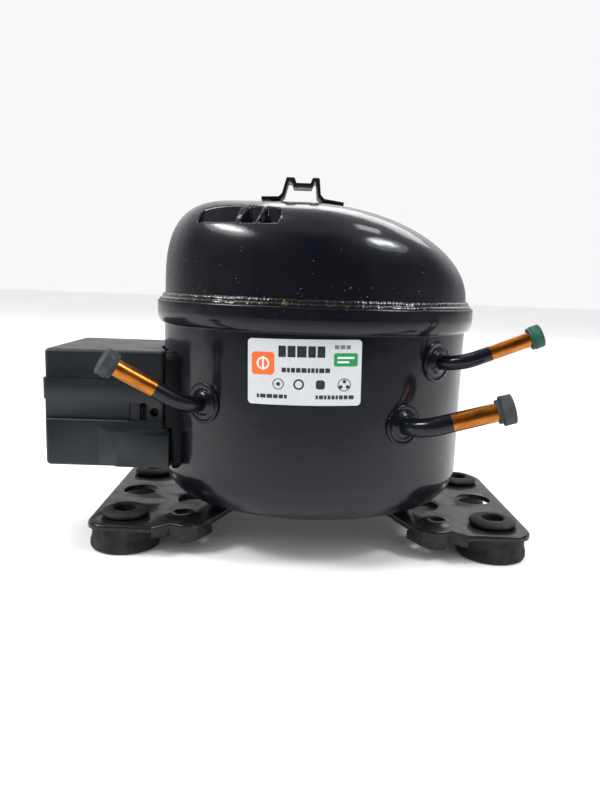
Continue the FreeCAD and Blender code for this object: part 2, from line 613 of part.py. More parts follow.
def make_rotor_cage():
    """The cast aluminium cage: two end rings joined by the bars."""
    x = SHAFT_X
    rings = [ring(16.5, 25.4, STATOR_Z0 - 4.5, STATOR_Z0, x), ring(16.5, 25.4, STATOR_Z1, 81.0, x)]
    return fuse(rings + around(cyl(BAR_R, STATOR_Z0 - 1, STATOR_Z1 + 1, x + CAGE_R),
                               CAGE_BARS).Solids)


def make_stator_bolts():
    bolts = []
    for x, y in corner_spots():
        head = Part.Face(Part.makePolygon(
            [V(x + 4.2 * math.cos(math.radians(60 * i)), y + 4.2 * math.sin(math.radians(60 * i)),
               SPRING_Z1) for i in range(7)])).extrude(V(0, 0, STATOR_Z0 - SPRING_Z1))
        bolts.append(head.fuse(cyl(2.5, STATOR_Z0, FRAME_Z0 + 3, x, y)))
    return Part.makeCompound(bolts)


# ---- pump ---------------------------------------------------------------------------------
def make_cylinder_block():
    """The casting: bearing hub, plate on four legs, cylinder, and the discharge cup's seat."""
    x = SHAFT_X
    plate = rounded_box(x - 44, x + 44, -40, 40, FRAME_Z0, FRAME_Z1, 16.0)
    window = cyl(46.0, FRAME_Z0 - 1, FRAME_Z1 + 1, x, 62).fuse(
        cyl(46.0, FRAME_Z0 - 1, FRAME_Z1 + 1, x, -74))
    plate = plate.cut(window)
    hub = cyl(13.0, 66.5, FRAME_Z1, x)
    legs = [cyl(6.5, STATOR_Z1, FRAME_Z0 + 1, bx, by) for bx, by in corner_spots()]
    barrel = rod(18.0, (HEAD_FACE_X, 0, CYL_Z), (-16.3, 0, CYL_Z))
    flange = rounded_box(HEAD_FACE_X, -34.0, -22, 22, CYL_Z - 21, CYL_Z + 21, 5.0, "x")
    saddle = box(HEAD_FACE_X, -16.3, -15, 15, FRAME_Z1 - 1, CYL_Z)
    bridge = box(-33.0, -22.0, -30.0, -12.0, FRAME_Z1 - 1, FRAME_Z1 + 8.0)
    block = fuse([plate, hub, barrel, flange, saddle, bridge] + legs)
    holes = [cyl(JOURNAL_R + RUN, 50, 130, x),
             rod(BORE_R, (HEAD_FACE_X - 1, 0, CYL_Z), (-10, 0, CYL_Z)),
             cyl(11.0, FRAME_Z1 + 0.0, 140, *CUP_SPOT)]
    holes += [cyl(2.5, 70, FRAME_Z0 + 3, bx, by) for bx, by in corner_spots()]
    holes += head_bolt_rods(2.0, HEAD_FACE_X - 1, -30.0)
    for hole in holes:
        block = block.cut(hole)
    return block


CUP_SPOT = (-24.0, -33.0)
HEAD_BOLT_SPOTS = ((-17.5, -16.5), (-17.5, 16.5), (17.5, -16.5), (17.5, 16.5))


def head_bolt_rods(r, x0, x1):
    return [rod(r, (x0, y, CYL_Z + z), (x1, y, CYL_Z + z)) for y, z in HEAD_BOLT_SPOTS]


def head_slab(x_out, x_in, corner=5.0):
    """A plate of the cylinder head's outline, between two distances outside the cylinder's end."""
    slab = rounded_box(HEAD_FACE_X - x_out, HEAD_FACE_X - x_in, -22, 22, CYL_Z - 21, CYL_Z + 21,
                       corner, "x")
    return slab.cut(Part.makeCompound(head_bolt_rods(2.0, HEAD_FACE_X - 40, HEAD_FACE_X + 10)))


REED_T = 0.3
SHEET_T, VALVE_PLATE_T, GASKET_T, HEAD_T = 0.4, 3.0, 0.8, 14.0
SUCTION_PORT_Z, SUCTION_HINGE_Z = CYL_Z + 4.0, CYL_Z + 10.7
DISCHARGE_PORT_Z, DISCHARGE_HINGE_Z = CYL_Z - 6.0, CYL_Z - 14.4
INLET_X = HEAD_FACE_X - 11.2                           # where the muffler's spout meets the head
PLATE_IN = SHEET_T                                     # distances outside the cylinder's end face
PLATE_OUT = PLATE_IN + VALVE_PLATE_T
GASKET_OUT = PLATE_OUT + GASKET_T


def port(r, z):
    return rod(r, (HEAD_FACE_X - 30, 0, z), (HEAD_FACE_X + 5, 0, z))


def make_suction_sheet():
    sheet = head_slab(SHEET_T, 0.0)
    window = box(-50, -40, -4.5, 4.5, SUCTION_PORT_Z - 5.2, SUCTION_HINGE_Z + 0.05)
    return sheet.cut(window).cut(port(3.0, DISCHARGE_PORT_Z))


def make_suction_reed():
    x = HEAD_FACE_X - SHEET_T
    tip = SUCTION_PORT_Z - 1.2
    tongue = box(x, x + REED_T, -3.6, 3.6, tip, SUCTION_HINGE_Z - 0.05)
    return fuse([tongue, rod(3.6, (x, 0, tip), (x + REED_T, 0, tip))])


def make_valve_plate():
    plate = head_slab(PLATE_OUT, PLATE_IN)
    return plate.cut(port(2.6, SUCTION_PORT_Z)).cut(port(2.2, DISCHARGE_PORT_Z))


def chambers(x_out, x_in, grow=0.0):
    """The head's two rooms: suction above, discharge below."""
    x0, x1 = HEAD_FACE_X - x_out, HEAD_FACE_X - x_in
    upper = box(x0, x1, -11 - grow, 11 + grow, CYL_Z + 1 - grow, CYL_Z + 15 + grow)
    lower = box(x0, x1, -11 - grow, 11 + grow, CYL_Z - 15 - grow, CYL_Z - 1.4 + grow)
    return [upper, lower]


def make_head_gasket():
    gasket = head_slab(GASKET_OUT, PLATE_OUT)
    return gasket.cut(Part.makeCompound(chambers(GASKET_OUT + 1, PLATE_OUT - 1, 0.3)))


def make_cylinder_head():
    head = head_slab(GASKET_OUT + HEAD_T, GASKET_OUT)
    head = head.cut(Part.makeCompound(chambers(GASKET_OUT + HEAD_T - 3, GASKET_OUT - 1)))
    x1 = HEAD_FACE_X - GASKET_OUT - HEAD_T
    fins = [box(x1 - 1.0, x1 + 3.0, -19, 19, CYL_Z + z, CYL_Z + z + 1.6) for z in (-9, -3, 3, 9)]
    fins = [f.common(box(x1, x1 + 3, -60, 60, 0, 200)) for f in fins]
    grooves = [box(x1 - 1, x1 + 1.4, -12, 12, CYL_Z + z, CYL_Z + z + 3.2) for z in (-7, -1, 5)]
    inlet = cyl(1.9, CYL_Z + 14, CYL_Z + 22, INLET_X)
    return fuse([head] + fins).cut(Part.makeCompound(grooves)).cut(inlet)


def make_discharge_reed():
    x = HEAD_FACE_X - PLATE_OUT
    top = DISCHARGE_PORT_Z + 0.2
    tongue = box(x - REED_T, x, -3.0, 3.0, DISCHARGE_HINGE_Z + 0.1, top)
    return fuse([tongue, rod(3.0, (x - REED_T, 0, top), (x, 0, top))])


def make_valve_stop():
    """The bent backstop that limits the discharge reed, with its root on the valve plate."""
    x = HEAD_FACE_X - PLATE_OUT
    z = DISCHARGE_HINGE_Z
    profile = [(x, z - 0.4), (x, z), (x - 0.6, z), (x - 2.2, z + 11.0), (x - 3.0, z + 11.0),
               (x - 1.6, z - 0.4)]
    corners = [V(px, -3.0, pz) for px, pz in profile]
    return Part.Face(Part.makePolygon(corners + corners[:1])).extrude(V(0, 6.0, 0))


def make_head_bolts():
    x = HEAD_FACE_X - GASKET_OUT - HEAD_T
    bolts = []
    for shank, head in zip(head_bolt_rods(2.0, x - 0.5, -30.0), head_bolt_rods(3.6, x - 3.2, x)):
        socket = head_bolt_rods(1.6, x - 4, x - 1.4)[len(bolts)]
        bolts.append(shank.fuse(head).cut(socket))
    return Part.makeCompound(bolts)


def make_suction_muffler():
    """The plastic silencer on top of the cylinder, with its intake mouth and outlet spout."""
    z0, z1 = CYL_Z + 21.4, CYL_Z + 31.6
    body = rounded_box(-56.0, -20.0, -17, 17, z0, z1, 5.0)
    body = body.makeFillet(2.0, edges_at(body, z1))
    room = rounded_box(-54.4, -21.6, -15.4, 15.4, z0 + 1.5, z1 - 1.5, 3.4)
    mouth = rod(4.2, (-30, -22.0, z0 + 5.0), (-30, -16.0, z0 + 5.0))
    spout = cyl(3.0, CYL_Z + 21, z0 + 1, INLET_X)
    body = fuse([body, mouth, spout])
    hollow = [room, rod(3.0, (-30, -24.0, z0 + 5.0), (-30, -12.0, z0 + 5.0)),
              cyl(1.9, CYL_Z + 20, z0 + 3, INLET_X)]
    for block in hollow:
        body = body.cut(block)
    return body


def make_discharge_muffler():
    """The pressed steel cup that smooths the discharge, on the crankcase plate."""
    x, y = CUP_SPOT
    cup = cyl(11.0, FRAME_Z1, FRAME_Z1 + 18, x, y)
    cup = cup.makeFillet(4.0, edges_at(cup, FRAME_Z1 + 18))
    return cup.cut(cyl(9.6, FRAME_Z1 + 1.4, FRAME_Z1 + 12, x, y)).cut(
        cyl(2.0, FRAME_Z1 + 10, FRAME_Z1 + 20, x, y))


def make_crankshaft():
    """The shaft, web with counterweight, and crankpin. At rest the pin is furthest from the head."""
    x, pin_x = SHAFT_X, SHAFT_X + THROW
    journal = cyl(JOURNAL_R, 41.0, 96.0, x)
    thrust = cyl(11.5, FRAME_Z1 + 0.1, 97.0, x)
    web = cyl(13.0, 96.0, 103.0, x)
    weight = cyl(18.4, 96.0, 103.0, x).common(box(x - 20, x - 3, -20, 20, 95, 104))
    pin = cyl(PIN_R, 102.0, CYL_Z + 11.0, pin_x)
    shaft = fuse([journal, thrust, web, weight, pin])
    feed = cyl(3.6, 40, 54, x)
    gallery = rod(1.4, (x, 0, 50), (x + 4.6, 0, 98))
    outlet = cyl(1.4, 98, CYL_Z + 10, x + THROW / 2)
    plug_seat = cyl(PLUG_R + RUN, CYL_Z + 8.0, CYL_Z + 12, x + THROW / 2)
    groove = ring(JOURNAL_R - 0.5, JOURNAL_R + 2, 74.0, 76.0, x)
    for block in (feed, gallery, outlet, plug_seat, groove):
        shaft = shaft.cut(block)
    return shaft


PLUG_R = 2.0


def make_oil_plug():
    """The small round plug that closes the oil gallery in the crankpin's top."""
    plug = cyl(PLUG_R, CYL_Z + 8.0, CYL_Z + 10.8, SHAFT_X + THROW / 2)
    return plug.cut(cyl(0.9, CYL_Z + 9.8, CYL_Z + 12, SHAFT_X + THROW / 2))


def make_oil_pickup():
    """The tube pressed into the shaft's lower end, which dips in the oil."""
    x = SHAFT_X
    profile = [(2.6, 52.0), (3.6, 52.0), (3.6, 34.0), (5.0, 32.0), (5.0, 28.5), (2.6, 24.6),
               (1.5, 24.6), (1.5, 26.2), (3.9, 29.2), (3.9, 31.4), (2.6, 33.4)]
    return revolve_z(profile, x)


def make_slide_block():
    """The round block on the crankpin, which slides to and fro in the cross tube."""
    pin_x = SHAFT_X + THROW
    block = rod(TUBE_BORE_R - RUN, (pin_x, -9, CYL_Z), (pin_x, 9, CYL_Z))
    return block.cut(cyl(PIN_R + RUN, 90, 140, pin_x))


def make_slide_tube():
    """The cross tube on the piston, slotted below and above for the crankpin."""
    pin_x = SHAFT_X + THROW
    tube = rod(TUBE_R, (pin_x, -TUBE_HALF, CYL_Z), (pin_x, TUBE_HALF, CYL_Z))
    tube = tube.cut(rod(TUBE_BORE_R, (pin_x, -25, CYL_Z), (pin_x, 25, CYL_Z)))
    reach = PIN_R + 1.2
    slot = rounded_box(pin_x - reach, pin_x + reach, -THROW - reach, THROW + reach,
                       CYL_Z - 15, CYL_Z + 15, reach - 0.1)
    return tube.cut(slot)


def make_piston():
    pin_x = SHAFT_X + THROW
    crown = pin_x - PISTON_L
    body = rod(BORE_R - RUN, (crown, 0, CYL_Z), (pin_x - 6, 0, CYL_Z))
    groove = [rod(BORE_R + 1, (crown + at, 0, CYL_Z), (crown + at + 0.7, 0, CYL_Z)).cut(
        rod(BORE_R - 0.5, (crown + at, 0, CYL_Z), (crown + at + 0.7, 0, CYL_Z)))
        for at in (3.0, 5.5)]
    hollow = rod(8.2, (crown + 5.0, 0, CYL_Z), (pin_x, 0, CYL_Z))
    cross = rod(TUBE_R, (pin_x, -30, CYL_Z), (pin_x, 30, CYL_Z))
    for block in groove + [hollow, cross]:
        body = body.cut(block)
    return body


# ---- suspension and inner connections -----------------------------------------------------
def make_spring(x, y):
    wire_r, mean_r, turns = 0.8, 5.6, 5
    height = SPRING_Z1 - SPRING_Z0 - 2 * wire_r - 0.2
    helix = Part.makeHelix(height / turns, height, mean_r)
    helix.translate(V(0, 0, SPRING_Z0 + wire_r + 0.1))
    start = helix.Edges[0]
    profile = Part.Wire([Part.makeCircle(wire_r, start.valueAt(start.FirstParameter),
                                         start.tangentAt(start.FirstParameter))])
    spring = Part.Wire(helix.Edges).makePipeShell([profile], True, True)
    spring.translate(V(x, y, 0))
    return spring


def make_spring_studs():
    """The four seats welded in the shell's bottom."""
    inside = lower_solid(BODY_A - WALL, BODY_B - WALL, BOTTOM_Z + WALL, BOTTOM_R - WALL)
    studs = []
    for x, y in corner_spots():
        pad = cyl(7.5, BOTTOM_Z + WALL - 1, SPRING_Z0, x, y)
        studs.append(fuse([pad, cyl(4.2, SPRING_Z0, SPRING_Z0 + 5, x, y)]).common(inside))
    return Part.makeCompound(studs)


def make_spring_caps():
    """The four plastic stops under the stator bolts' heads."""
    caps = []
    for x, y in corner_spots():
        cap = fuse([cyl(6.8, SPRING_Z1, SPRING_Z1 + 1.2, x, y),
                    cyl(4.2, SPRING_Z1 - 5, SPRING_Z1, x, y)])
        hex_room = Part.Face(Part.makePolygon(
            [V(x + 4.2 * math.cos(math.radians(60 * i)), y + 4.2 * math.sin(math.radians(60 * i)),
               SPRING_Z1) for i in range(7)])).extrude(V(0, 0, 4))
        caps.append(cap.cut(hex_room))
    return Part.makeCompound(caps)


def make_discharge_line():
    """The steel pipe that loops round the pump and takes up its shaking."""
    x, y = CUP_SPOT
    centre, out = pipe_seat(PIPES["discharge"])
    end, turn = centre - out * 2, centre - out * 8.5
    loop_x, high, low = 54.0, 118.0, 101.0
    points = [(x, y, FRAME_Z1 + 12.5), (x, y, 121), (0, -46, 120), (30, -44, 118),
              (loop_x, -14, high), (loop_x, 22, high), (loop_x, 22, low), (loop_x, -22, low),
              (turn.x, turn.y, low), (turn.x, turn.y, turn.z), (end.x, end.y, end.z)]
    radii = [6.0, 14.0, 14.0, 14.0, 8.0, 8.0, 8.0, 4.5, 3.6]
    return sweep_round(bent_path(points, radii), 2.0)


def make_lead_connector():
    """The plastic plug that joins the motor's leads to the terminal's inner pins."""
    x0, x1 = HEADER_X + 6.0, HEADER_X + 16.5
    block = rounded_box(x0, x1, -10.5, 10.5, TERMINAL_Z - 8.5, TERMINAL_Z + 10.5, 2.5, "x")
    return block.cut(Part.makeCompound(header_rods(PIN_METAL_R, x0 - 1, HEADER_X + 11)))


def make_motor_leads():
    leads = []
    for y in (-5.0, 0.0, 5.0):
        path = bent_path([(HEADER_X + 16.5, y, TERMINAL_Z), (-51.5, y, TERMINAL_Z),
                          (-49.5, y, 82.5), (SHAFT_X - 40.35, y, 82.5)], [4.0, 4.0])
        leads.append(sweep_round(path, 1.1))
    ring_r = SLOT_R1 + 0.8
    return Part.makeCompound([w.cut(cyl(ring_r, 70, 90, SHAFT_X)) for w in leads])


# ---- all the nodes ------------------------------------------------------------------------
def build():
    outside = shell_outside()
    dome = dome_solid(0.0)
    nodes = {
        "lower_shell": make_lower_shell(),
        "upper_shell": make_upper_shell(),
        "seam_weld": make_seam_weld(),
        "base_plate_right": make_base_plate(),
        "tray_clip": make_tray_clip(dome),
        "rating_label": make_label(),
        "terminal_header": make_terminal_header(),
        "terminal_glass": make_terminal_glass(),
        "terminal_pins": make_terminal_pins(),
        "terminal_bracket": make_terminal_bracket(outside),
        "earth_screw": make_earth_screw(),
        "ptc_starter": make_starter(),
        "overload_protector": make_protector(),
        "protector_lead": make_protector_lead(),
        "terminal_cover": make_terminal_cover(outside),
        "stator_core": make_stator_core(),
        "stator_windings": make_windings(),
        "stator_bolts": make_stator_bolts(),
        "rotor_core": make_rotor_core(),
        "rotor_cage": make_rotor_cage(),
        "cylinder_block": make_cylinder_block(),
        "suction_valve_sheet": make_suction_sheet(),
        "suction_reed": make_suction_reed(),
        "valve_plate": make_valve_plate(),
        "head_gasket": make_head_gasket(),
        "discharge_reed": make_discharge_reed(),
        "discharge_valve_stop": make_valve_stop(),
        "cylinder_head": make_cylinder_head(),
        "head_bolts": make_head_bolts(),
        "suction_muffler": make_suction_muffler(),
        "discharge_muffler": make_discharge_muffler(),
        "crankshaft": make_crankshaft(),
        "oil_gallery_plug": make_oil_plug(),
        "oil_pickup_tube": make_oil_pickup(),
        "slide_block": make_slide_block(),
        "slide_tube": make_slide_tube(),
        "piston": make_piston(),
        "spring_studs": make_spring_studs(),
        "spring_caps": make_spring_caps(),
        "discharge_line": make_discharge_line(),
        "lead_connector": make_lead_connector(),
        "motor_leads": make_motor_leads(),
    }
    nodes["base_plate_left"] = mirrored_x(nodes["base_plate_right"])
    for name, pipe in PIPES.items():
        nodes[name + "_pipe"] = make_pipe(pipe)
        nodes[name + "_collar"] = make_collar(pipe, outside)
        nodes[name + "_plug"] = make_plug(pipe)
    for sx, side in ((-1, "left"), (1, "right")):
        for sy, end in ((-1, "front"), (1, "back")):
            nodes[f"foot_{end}_{side}"] = make_foot(sx * MOUNT_X / 2, sy * MOUNT_Y / 2)
            nodes[f"spring_{end}_{side}"] = make_spring(SHAFT_X + sx * BOLT_X, sy * BOLT_Y)
    return nodes


def main():
    os.makedirs("parts", exist_ok=True)
    for old in os.listdir("parts"):
        os.remove(os.path.join("parts", old))
    for name, shape in build().items():
        if not shape.isValid() or shape.Volume <= 0:
            print("BAD SHAPE", name, shape.isValid(), shape.Volume)
        print(f"{name:22s} {shape.ShapeType:10s} solids {len(shape.Solids):2d} "
              f"volume {shape.Volume:10.1f}")
        shape.exportStep(f"parts/{name}.step")
    for name, pipe in PIPES.items():
        along, straight = pipe_axis(pipe)
        print(name, "pipe: axis", [round(c, 5) for c in along], "straight", round(straight, 3))


if __name__ == "__main__":
    main()
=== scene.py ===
"""Looks for the hermetic reciprocating compressor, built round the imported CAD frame.

Everything is in metres in the row frame. Lengths that are easier to read in millimetres are
multiplied by MM. Shell, weld, pipes, collars, plugs, feet and label are remodelled here as smooth
meshes that stand for their CAD nodes. The other CAD nodes keep their shape and get materials.
"""
import json
import math
import random

import bpy
import numpy as np
from mathutils import Matrix, Quaternion, Vector


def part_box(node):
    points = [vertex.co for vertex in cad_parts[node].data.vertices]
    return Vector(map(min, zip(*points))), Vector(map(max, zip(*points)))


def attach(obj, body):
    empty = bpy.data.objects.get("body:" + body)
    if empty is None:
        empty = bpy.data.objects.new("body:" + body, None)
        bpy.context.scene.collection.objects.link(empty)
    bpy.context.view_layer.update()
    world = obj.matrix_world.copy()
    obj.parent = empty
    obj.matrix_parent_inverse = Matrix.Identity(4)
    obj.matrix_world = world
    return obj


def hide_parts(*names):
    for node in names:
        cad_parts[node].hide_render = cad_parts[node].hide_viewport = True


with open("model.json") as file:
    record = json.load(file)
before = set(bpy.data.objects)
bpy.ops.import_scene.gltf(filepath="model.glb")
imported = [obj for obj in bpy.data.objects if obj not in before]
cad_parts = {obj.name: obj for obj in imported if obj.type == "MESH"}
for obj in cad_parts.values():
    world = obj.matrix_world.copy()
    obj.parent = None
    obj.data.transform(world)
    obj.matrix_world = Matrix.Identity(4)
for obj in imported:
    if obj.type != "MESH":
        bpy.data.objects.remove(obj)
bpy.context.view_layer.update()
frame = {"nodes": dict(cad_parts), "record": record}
NODES = frame["nodes"]
MM = 0.001


def add(name, data):
    """A new object in the scene."""
    obj = bpy.data.objects.new(name, data)
    bpy.context.scene.collection.objects.link(obj)
    return obj


# ---- dimensions shared with the CAD, in millimetres ----
BODY_A, BODY_B, WALL = 72.5, 63.2, 3.0        # the body's half axes in x and y
RIM_GROW, COVER_A, COVER_B = 3.3, 72.2, 62.9   # how far the rim stands out; the cover's half axes
BOTTOM_Z, BOTTOM_R, SOCKET_Z, RIM_TOP = 18.0, 18.0, 102.9, 112.0
SKIRT_Z, DOME_Z, DOME_TOP, DOME_ARCH_N = 103.0, 112.0, 157.3, 3.4
DOME_LEFT = (-37.0, 113.0, 2.9)                # each end's centre in x, its foot and its exponent
DOME_RIGHT = (-7.3, 112.1, 1.96)
RECESS = dict(x=-31.0, y=-45.0, turn=20.0, floor=145.0, low=-2.7, high=-7.3, top=155.0,
              corner=8.5, bays=((-23.5, -3.9), (-1.1, 5.6), (7.1, 15.0)))
# Where each pipe leaves the shell, its radius, lead, bend and bare end, and the plug's two steps
PIPES = {
    "suction": dict(x=-48.2, z=69.0, r=3.6, lead=11.0, bend=20.0, bare=18.1,
                    plug=((5.3, 1.5), (5.9, 5.8))),
    "discharge": dict(x=52.0, z=89.7, r=3.2, lead=11.5, bend=18.0, bare=16.9,
                      plug=((4.6, 1.2), (4.95, 5.1))),
    "process": dict(x=37.6, z=63.3, r=4.0, lead=11.0, bend=15.0, bare=18.3,
                    plug=((5.0, 1.8), (6.3, 6.8))),
}


# ---- camera ----
CAMERA_AT = (-12.1, -337.6, 121.1)
CAMERA_PITCH, CAMERA_YAW, CAMERA_ROLL = 9.68, 1.08, 1.99    # degrees down, right, anticlockwise
CAMERA_FOCAL = 682.5 / 800                                  # as a share of the picture's height
SENSOR = 36.0


def make_camera():
    """The photo's viewpoint."""
    pitch, yaw, roll = (math.radians(v) for v in (CAMERA_PITCH, CAMERA_YAW, CAMERA_ROLL))
    forward = Vector((math.sin(yaw) * math.cos(pitch), math.cos(yaw) * math.cos(pitch),
                      -math.sin(pitch)))
    right = Vector((math.cos(yaw), -math.sin(yaw), 0.0))
    up = right.cross(forward)
    across = math.cos(roll) * right + math.sin(roll) * up
    upward = -math.sin(roll) * right + math.cos(roll) * up
    data = bpy.data.cameras.new("camera")
    data.sensor_width, data.lens = SENSOR, CAMERA_FOCAL * SENSOR
    data.clip_start, data.clip_end = 0.01, 50.0
    cam = add("camera", data)
    turn = Matrix((across, upward, -forward)).transposed().to_4x4()
    cam.matrix_world = Matrix.Translation(Vector(CAMERA_AT) * MM) @ turn
    bpy.context.scene.camera = cam


make_camera()


# ---- materials ----
class Look:
    """A Principled material with short helpers for procedural detail, in millimetres."""

    def __init__(self, name, colour, rough=0.5, metal=0.0, coat=0.0, coat_rough=0.05, spec=0.5,
                 uv=False):
        self.mat = bpy.data.materials.new(name)
        self.mat.use_nodes = True
        self.tree = self.mat.node_tree
        self.shader = self.tree.nodes["Principled BSDF"]
        self.uv = uv
        self.set("Base Color", (*colour, 1.0))
        self.set("Roughness", rough)
        self.set("Metallic", metal)
        self.set("Coat Weight", coat)
        self.set("Coat Roughness", coat_rough)
        self.set("Specular IOR Level", spec)
        self.mat.diffuse_color = (*colour, 1.0)
        self.bumped = None

    def set(self, socket, value):
        self.shader.inputs[socket].default_value = value

    def new(self, kind, **values):
        """A node with values set on it, or on its inputs where it has no such property."""
        node = self.tree.nodes.new("ShaderNode" + kind)
        for key, value in values.items():
            if hasattr(node, key):
                setattr(node, key, value)
            else:
                node.inputs[key.replace("_", " ")].default_value = value
        return node

    def link(self, a, b):
        self.tree.links.new(a, b)

    def point(self, space="Object"):
        return self.new("TexCoord").outputs[space]

    def place(self, size, stretch=(1, 1, 1)):
        """Texture space in which one unit is `size` millimetres."""
        scale = self.new("VectorMath", operation="MULTIPLY")
        unit = 1.0 if self.uv else 1000.0
        scale.inputs[1].default_value = tuple(unit / size / s for s in stretch)
        self.link(self.point("UV" if self.uv else "Object"), scale.inputs[0])
        return scale.outputs[0]

    def noise(self, size, detail=4.0, stretch=(1, 1, 1), rough=0.55):
        node = self.new("TexNoise", Detail=detail, Roughness=rough, Scale=1.0)
        self.link(self.place(size, stretch), node.inputs["Vector"])
        return node.outputs["Fac"]

    def cells(self, size):
        node = self.new("TexVoronoi", Scale=1.0)
        self.link(self.place(size), node.inputs["Vector"])
        return node.outputs["Distance"]

    def ramp(self, source, low, high, a=0.0, b=1.0):
        """Maps low to a and high to b, and holds those values outside."""
        node = self.new("MapRange")
        node.inputs["From Min"].default_value = low
        node.inputs["From Max"].default_value = high
        node.inputs["To Min"].default_value = a
        node.inputs["To Max"].default_value = b
        self.link(source, node.inputs["Value"])
        return node.outputs["Result"]

    def times(self, a, b):
        node = self.new("Math", operation="MULTIPLY")
        self.link(a, node.inputs[0])
        if isinstance(b, float):
            node.inputs[1].default_value = b
        else:
            self.link(b, node.inputs[1])
        return node.outputs[0]

    def mix(self, mask, a, b):
        node = self.new("Mix", data_type="RGBA")
        self.link(mask, node.inputs["Factor"])
        for socket, value in ((node.inputs[6], a), (node.inputs[7], b)):
            if isinstance(value, tuple):
                socket.default_value = (*value, 1.0)
            else:
                self.link(value, socket)
        return node.outputs[2]

    def colour(self, source):
        self.link(source, self.shader.inputs["Base Color"])

    def rough(self, source):
        self.link(source, self.shader.inputs["Roughness"])

    def bump(self, source, depth):
        """Adds relief of `depth` millimetres to the surface and its coat."""
        node = self.new("Bump", Strength=1.0, Distance=depth * MM)
        self.link(source, node.inputs["Height"])
        if self.bumped:
            self.link(self.bumped, node.inputs["Normal"])
        self.bumped = node.outputs["Normal"]
        self.link(self.bumped, self.shader.inputs["Normal"])
        self.link(self.bumped, self.shader.inputs["Coat Normal"])


def shade(colour, by, plus=0.0):
    """A colour made lighter or darker."""
    return tuple(min(1.0, c * by + plus) for c in colour)


def height_mask(look, z_low, z_high, soft):
    """1 between two heights in millimetres, fading out over `soft`."""
    split = look.new("SeparateXYZ")
    look.link(look.point(), split.inputs[0])
    up = look.ramp(split.outputs[2], (z_low - soft) * MM, z_low * MM)
    down = look.ramp(split.outputs[2], z_high * MM, (z_high + soft) * MM, 1.0, 0.0)
    return look.times(up, down)


ENAMEL = (0.0022, 0.0029, 0.0062)


def gloss_paint(name, dusty=True):
    """Black enamel: gloss with slight waves, smears, fine scratches, and dust over the seam."""
    look = Look(name, ENAMEL, rough=0.4, coat=0.56, coat_rough=0.1, spec=0.1)
    blotch = look.noise(26.0, 3.0)
    specks = look.ramp(look.cells(2.4), 0.05, 0.08, 1.0, 0.0)
    thin = look.times(specks, look.ramp(look.noise(9.0, 2.0), 0.44, 0.56))
    base = look.mix(blotch, shade(ENAMEL, 0.7), shade(ENAMEL, 1.5))
    if dusty:
        seam = height_mask(look, 113.0, 119.0, 6.0)
        fine = look.ramp(look.cells(1.6), 0.05, 0.09, 1.0, 0.0)
        near = look.times(look.times(fine, seam), look.ramp(look.noise(4.0, 2.0), 0.48, 0.54))
        base = look.mix(near, base, (0.32, 0.31, 0.28))
        thin = look.times(thin, height_mask(look, 114.0, 130.0, 9.0))
    base = look.mix(thin, base, (0.36, 0.36, 0.37))
    look.colour(base)
    scratch = look.ramp(look.noise(1.0, 2.0, (22.0, 22.0, 0.35)), 0.66, 0.72)
    look.rough(look.ramp(look.noise(14.0, 5.0), 0.3, 0.7, 0.3, 0.5))
    look.bump(look.noise(3.0, 2.0), 0.02)
    look.bump(look.noise(8.0, 1.0), 0.075)
    look.bump(scratch, 0.001)
    return look.mat


FLECK_AT = (-14.2, -63.6, 113.4)          # the one fleck of bare metal on the weld


def weld_paint():
    """The painted bead: lumpy, with grime in its groove and one fleck of bare yellow metal."""
    look = Look("weld_paint", (0.008, 0.008, 0.008), rough=0.34, coat=0.85, coat_rough=0.08,
                spec=0.2)
    look.bump(look.noise(1.7, 3.0), 0.2)
    look.bump(look.noise(0.6, 2.0), 0.03)
    dust = look.ramp(look.noise(1.1, 4.0), 0.6, 0.75)
    grime = look.mix(dust, (0.004, 0.004, 0.004), (0.035, 0.033, 0.028))
    groove = look.times(height_mask(look, 113.0, 113.6, 0.5),
                        look.ramp(look.noise(7.0, 3.0), 0.3, 0.7))
    base = look.mix(groove, grime, (0.006, 0.0058, 0.0048))
    away = look.new("VectorMath", operation="DISTANCE")
    look.link(look.point(), away.inputs[0])
    away.inputs[1].default_value = tuple(c * MM for c in FLECK_AT)
    spot = look.times(look.ramp(away.outputs["Value"], 0.0009, 0.0017, 1.0, 0.0),
                      look.ramp(look.noise(1.0, 2.0), 0.45, 0.55))
    look.colour(look.mix(spot, base, (0.11, 0.08, 0.02)))
    return look.mat


def plate_paint():
    """Black enamel on pressed sheet, duller and more handled than the shell's."""
    look = Look("plate_paint", (0.01, 0.0105, 0.012), rough=0.4, coat=0.38, coat_rough=0.14,
                spec=0.12)
    smear = look.noise(18.0, 4.0)
    dirt = look.ramp(look.noise(3.2, 5.0), 0.58, 0.76)
    look.colour(look.mix(dirt, look.mix(smear, (0.0045, 0.005, 0.006), (0.011, 0.0115, 0.013)),
                         (0.045, 0.042, 0.036)))
    look.rough(look.ramp(look.noise(7.0, 5.0), 0.3, 0.7, 0.3, 0.55))
    look.bump(look.noise(1.8, 3.0), 0.01)
    look.bump(look.noise(14.0, 2.0), 0.12)
    return look.mat


def rubber(name, colour, grain=0.35, depth=0.03, rough=0.74):
    """Matt moulded rubber, lighter where it has worn."""
    look = Look(name, colour, rough=rough, spec=0.38)
    wear = look.ramp(look.noise(5.0, 5.0), 0.42, 0.7)
    look.colour(look.mix(wear, colour, shade(colour, 1.7, 0.012)))
    look.rough(look.ramp(look.noise(3.0, 4.0), 0.3, 0.7, rough - 0.12, rough + 0.1))
    look.bump(look.noise(grain, 3.0), depth)
    look.bump(look.noise(4.0, 2.0), depth * 3)
    return look.mat


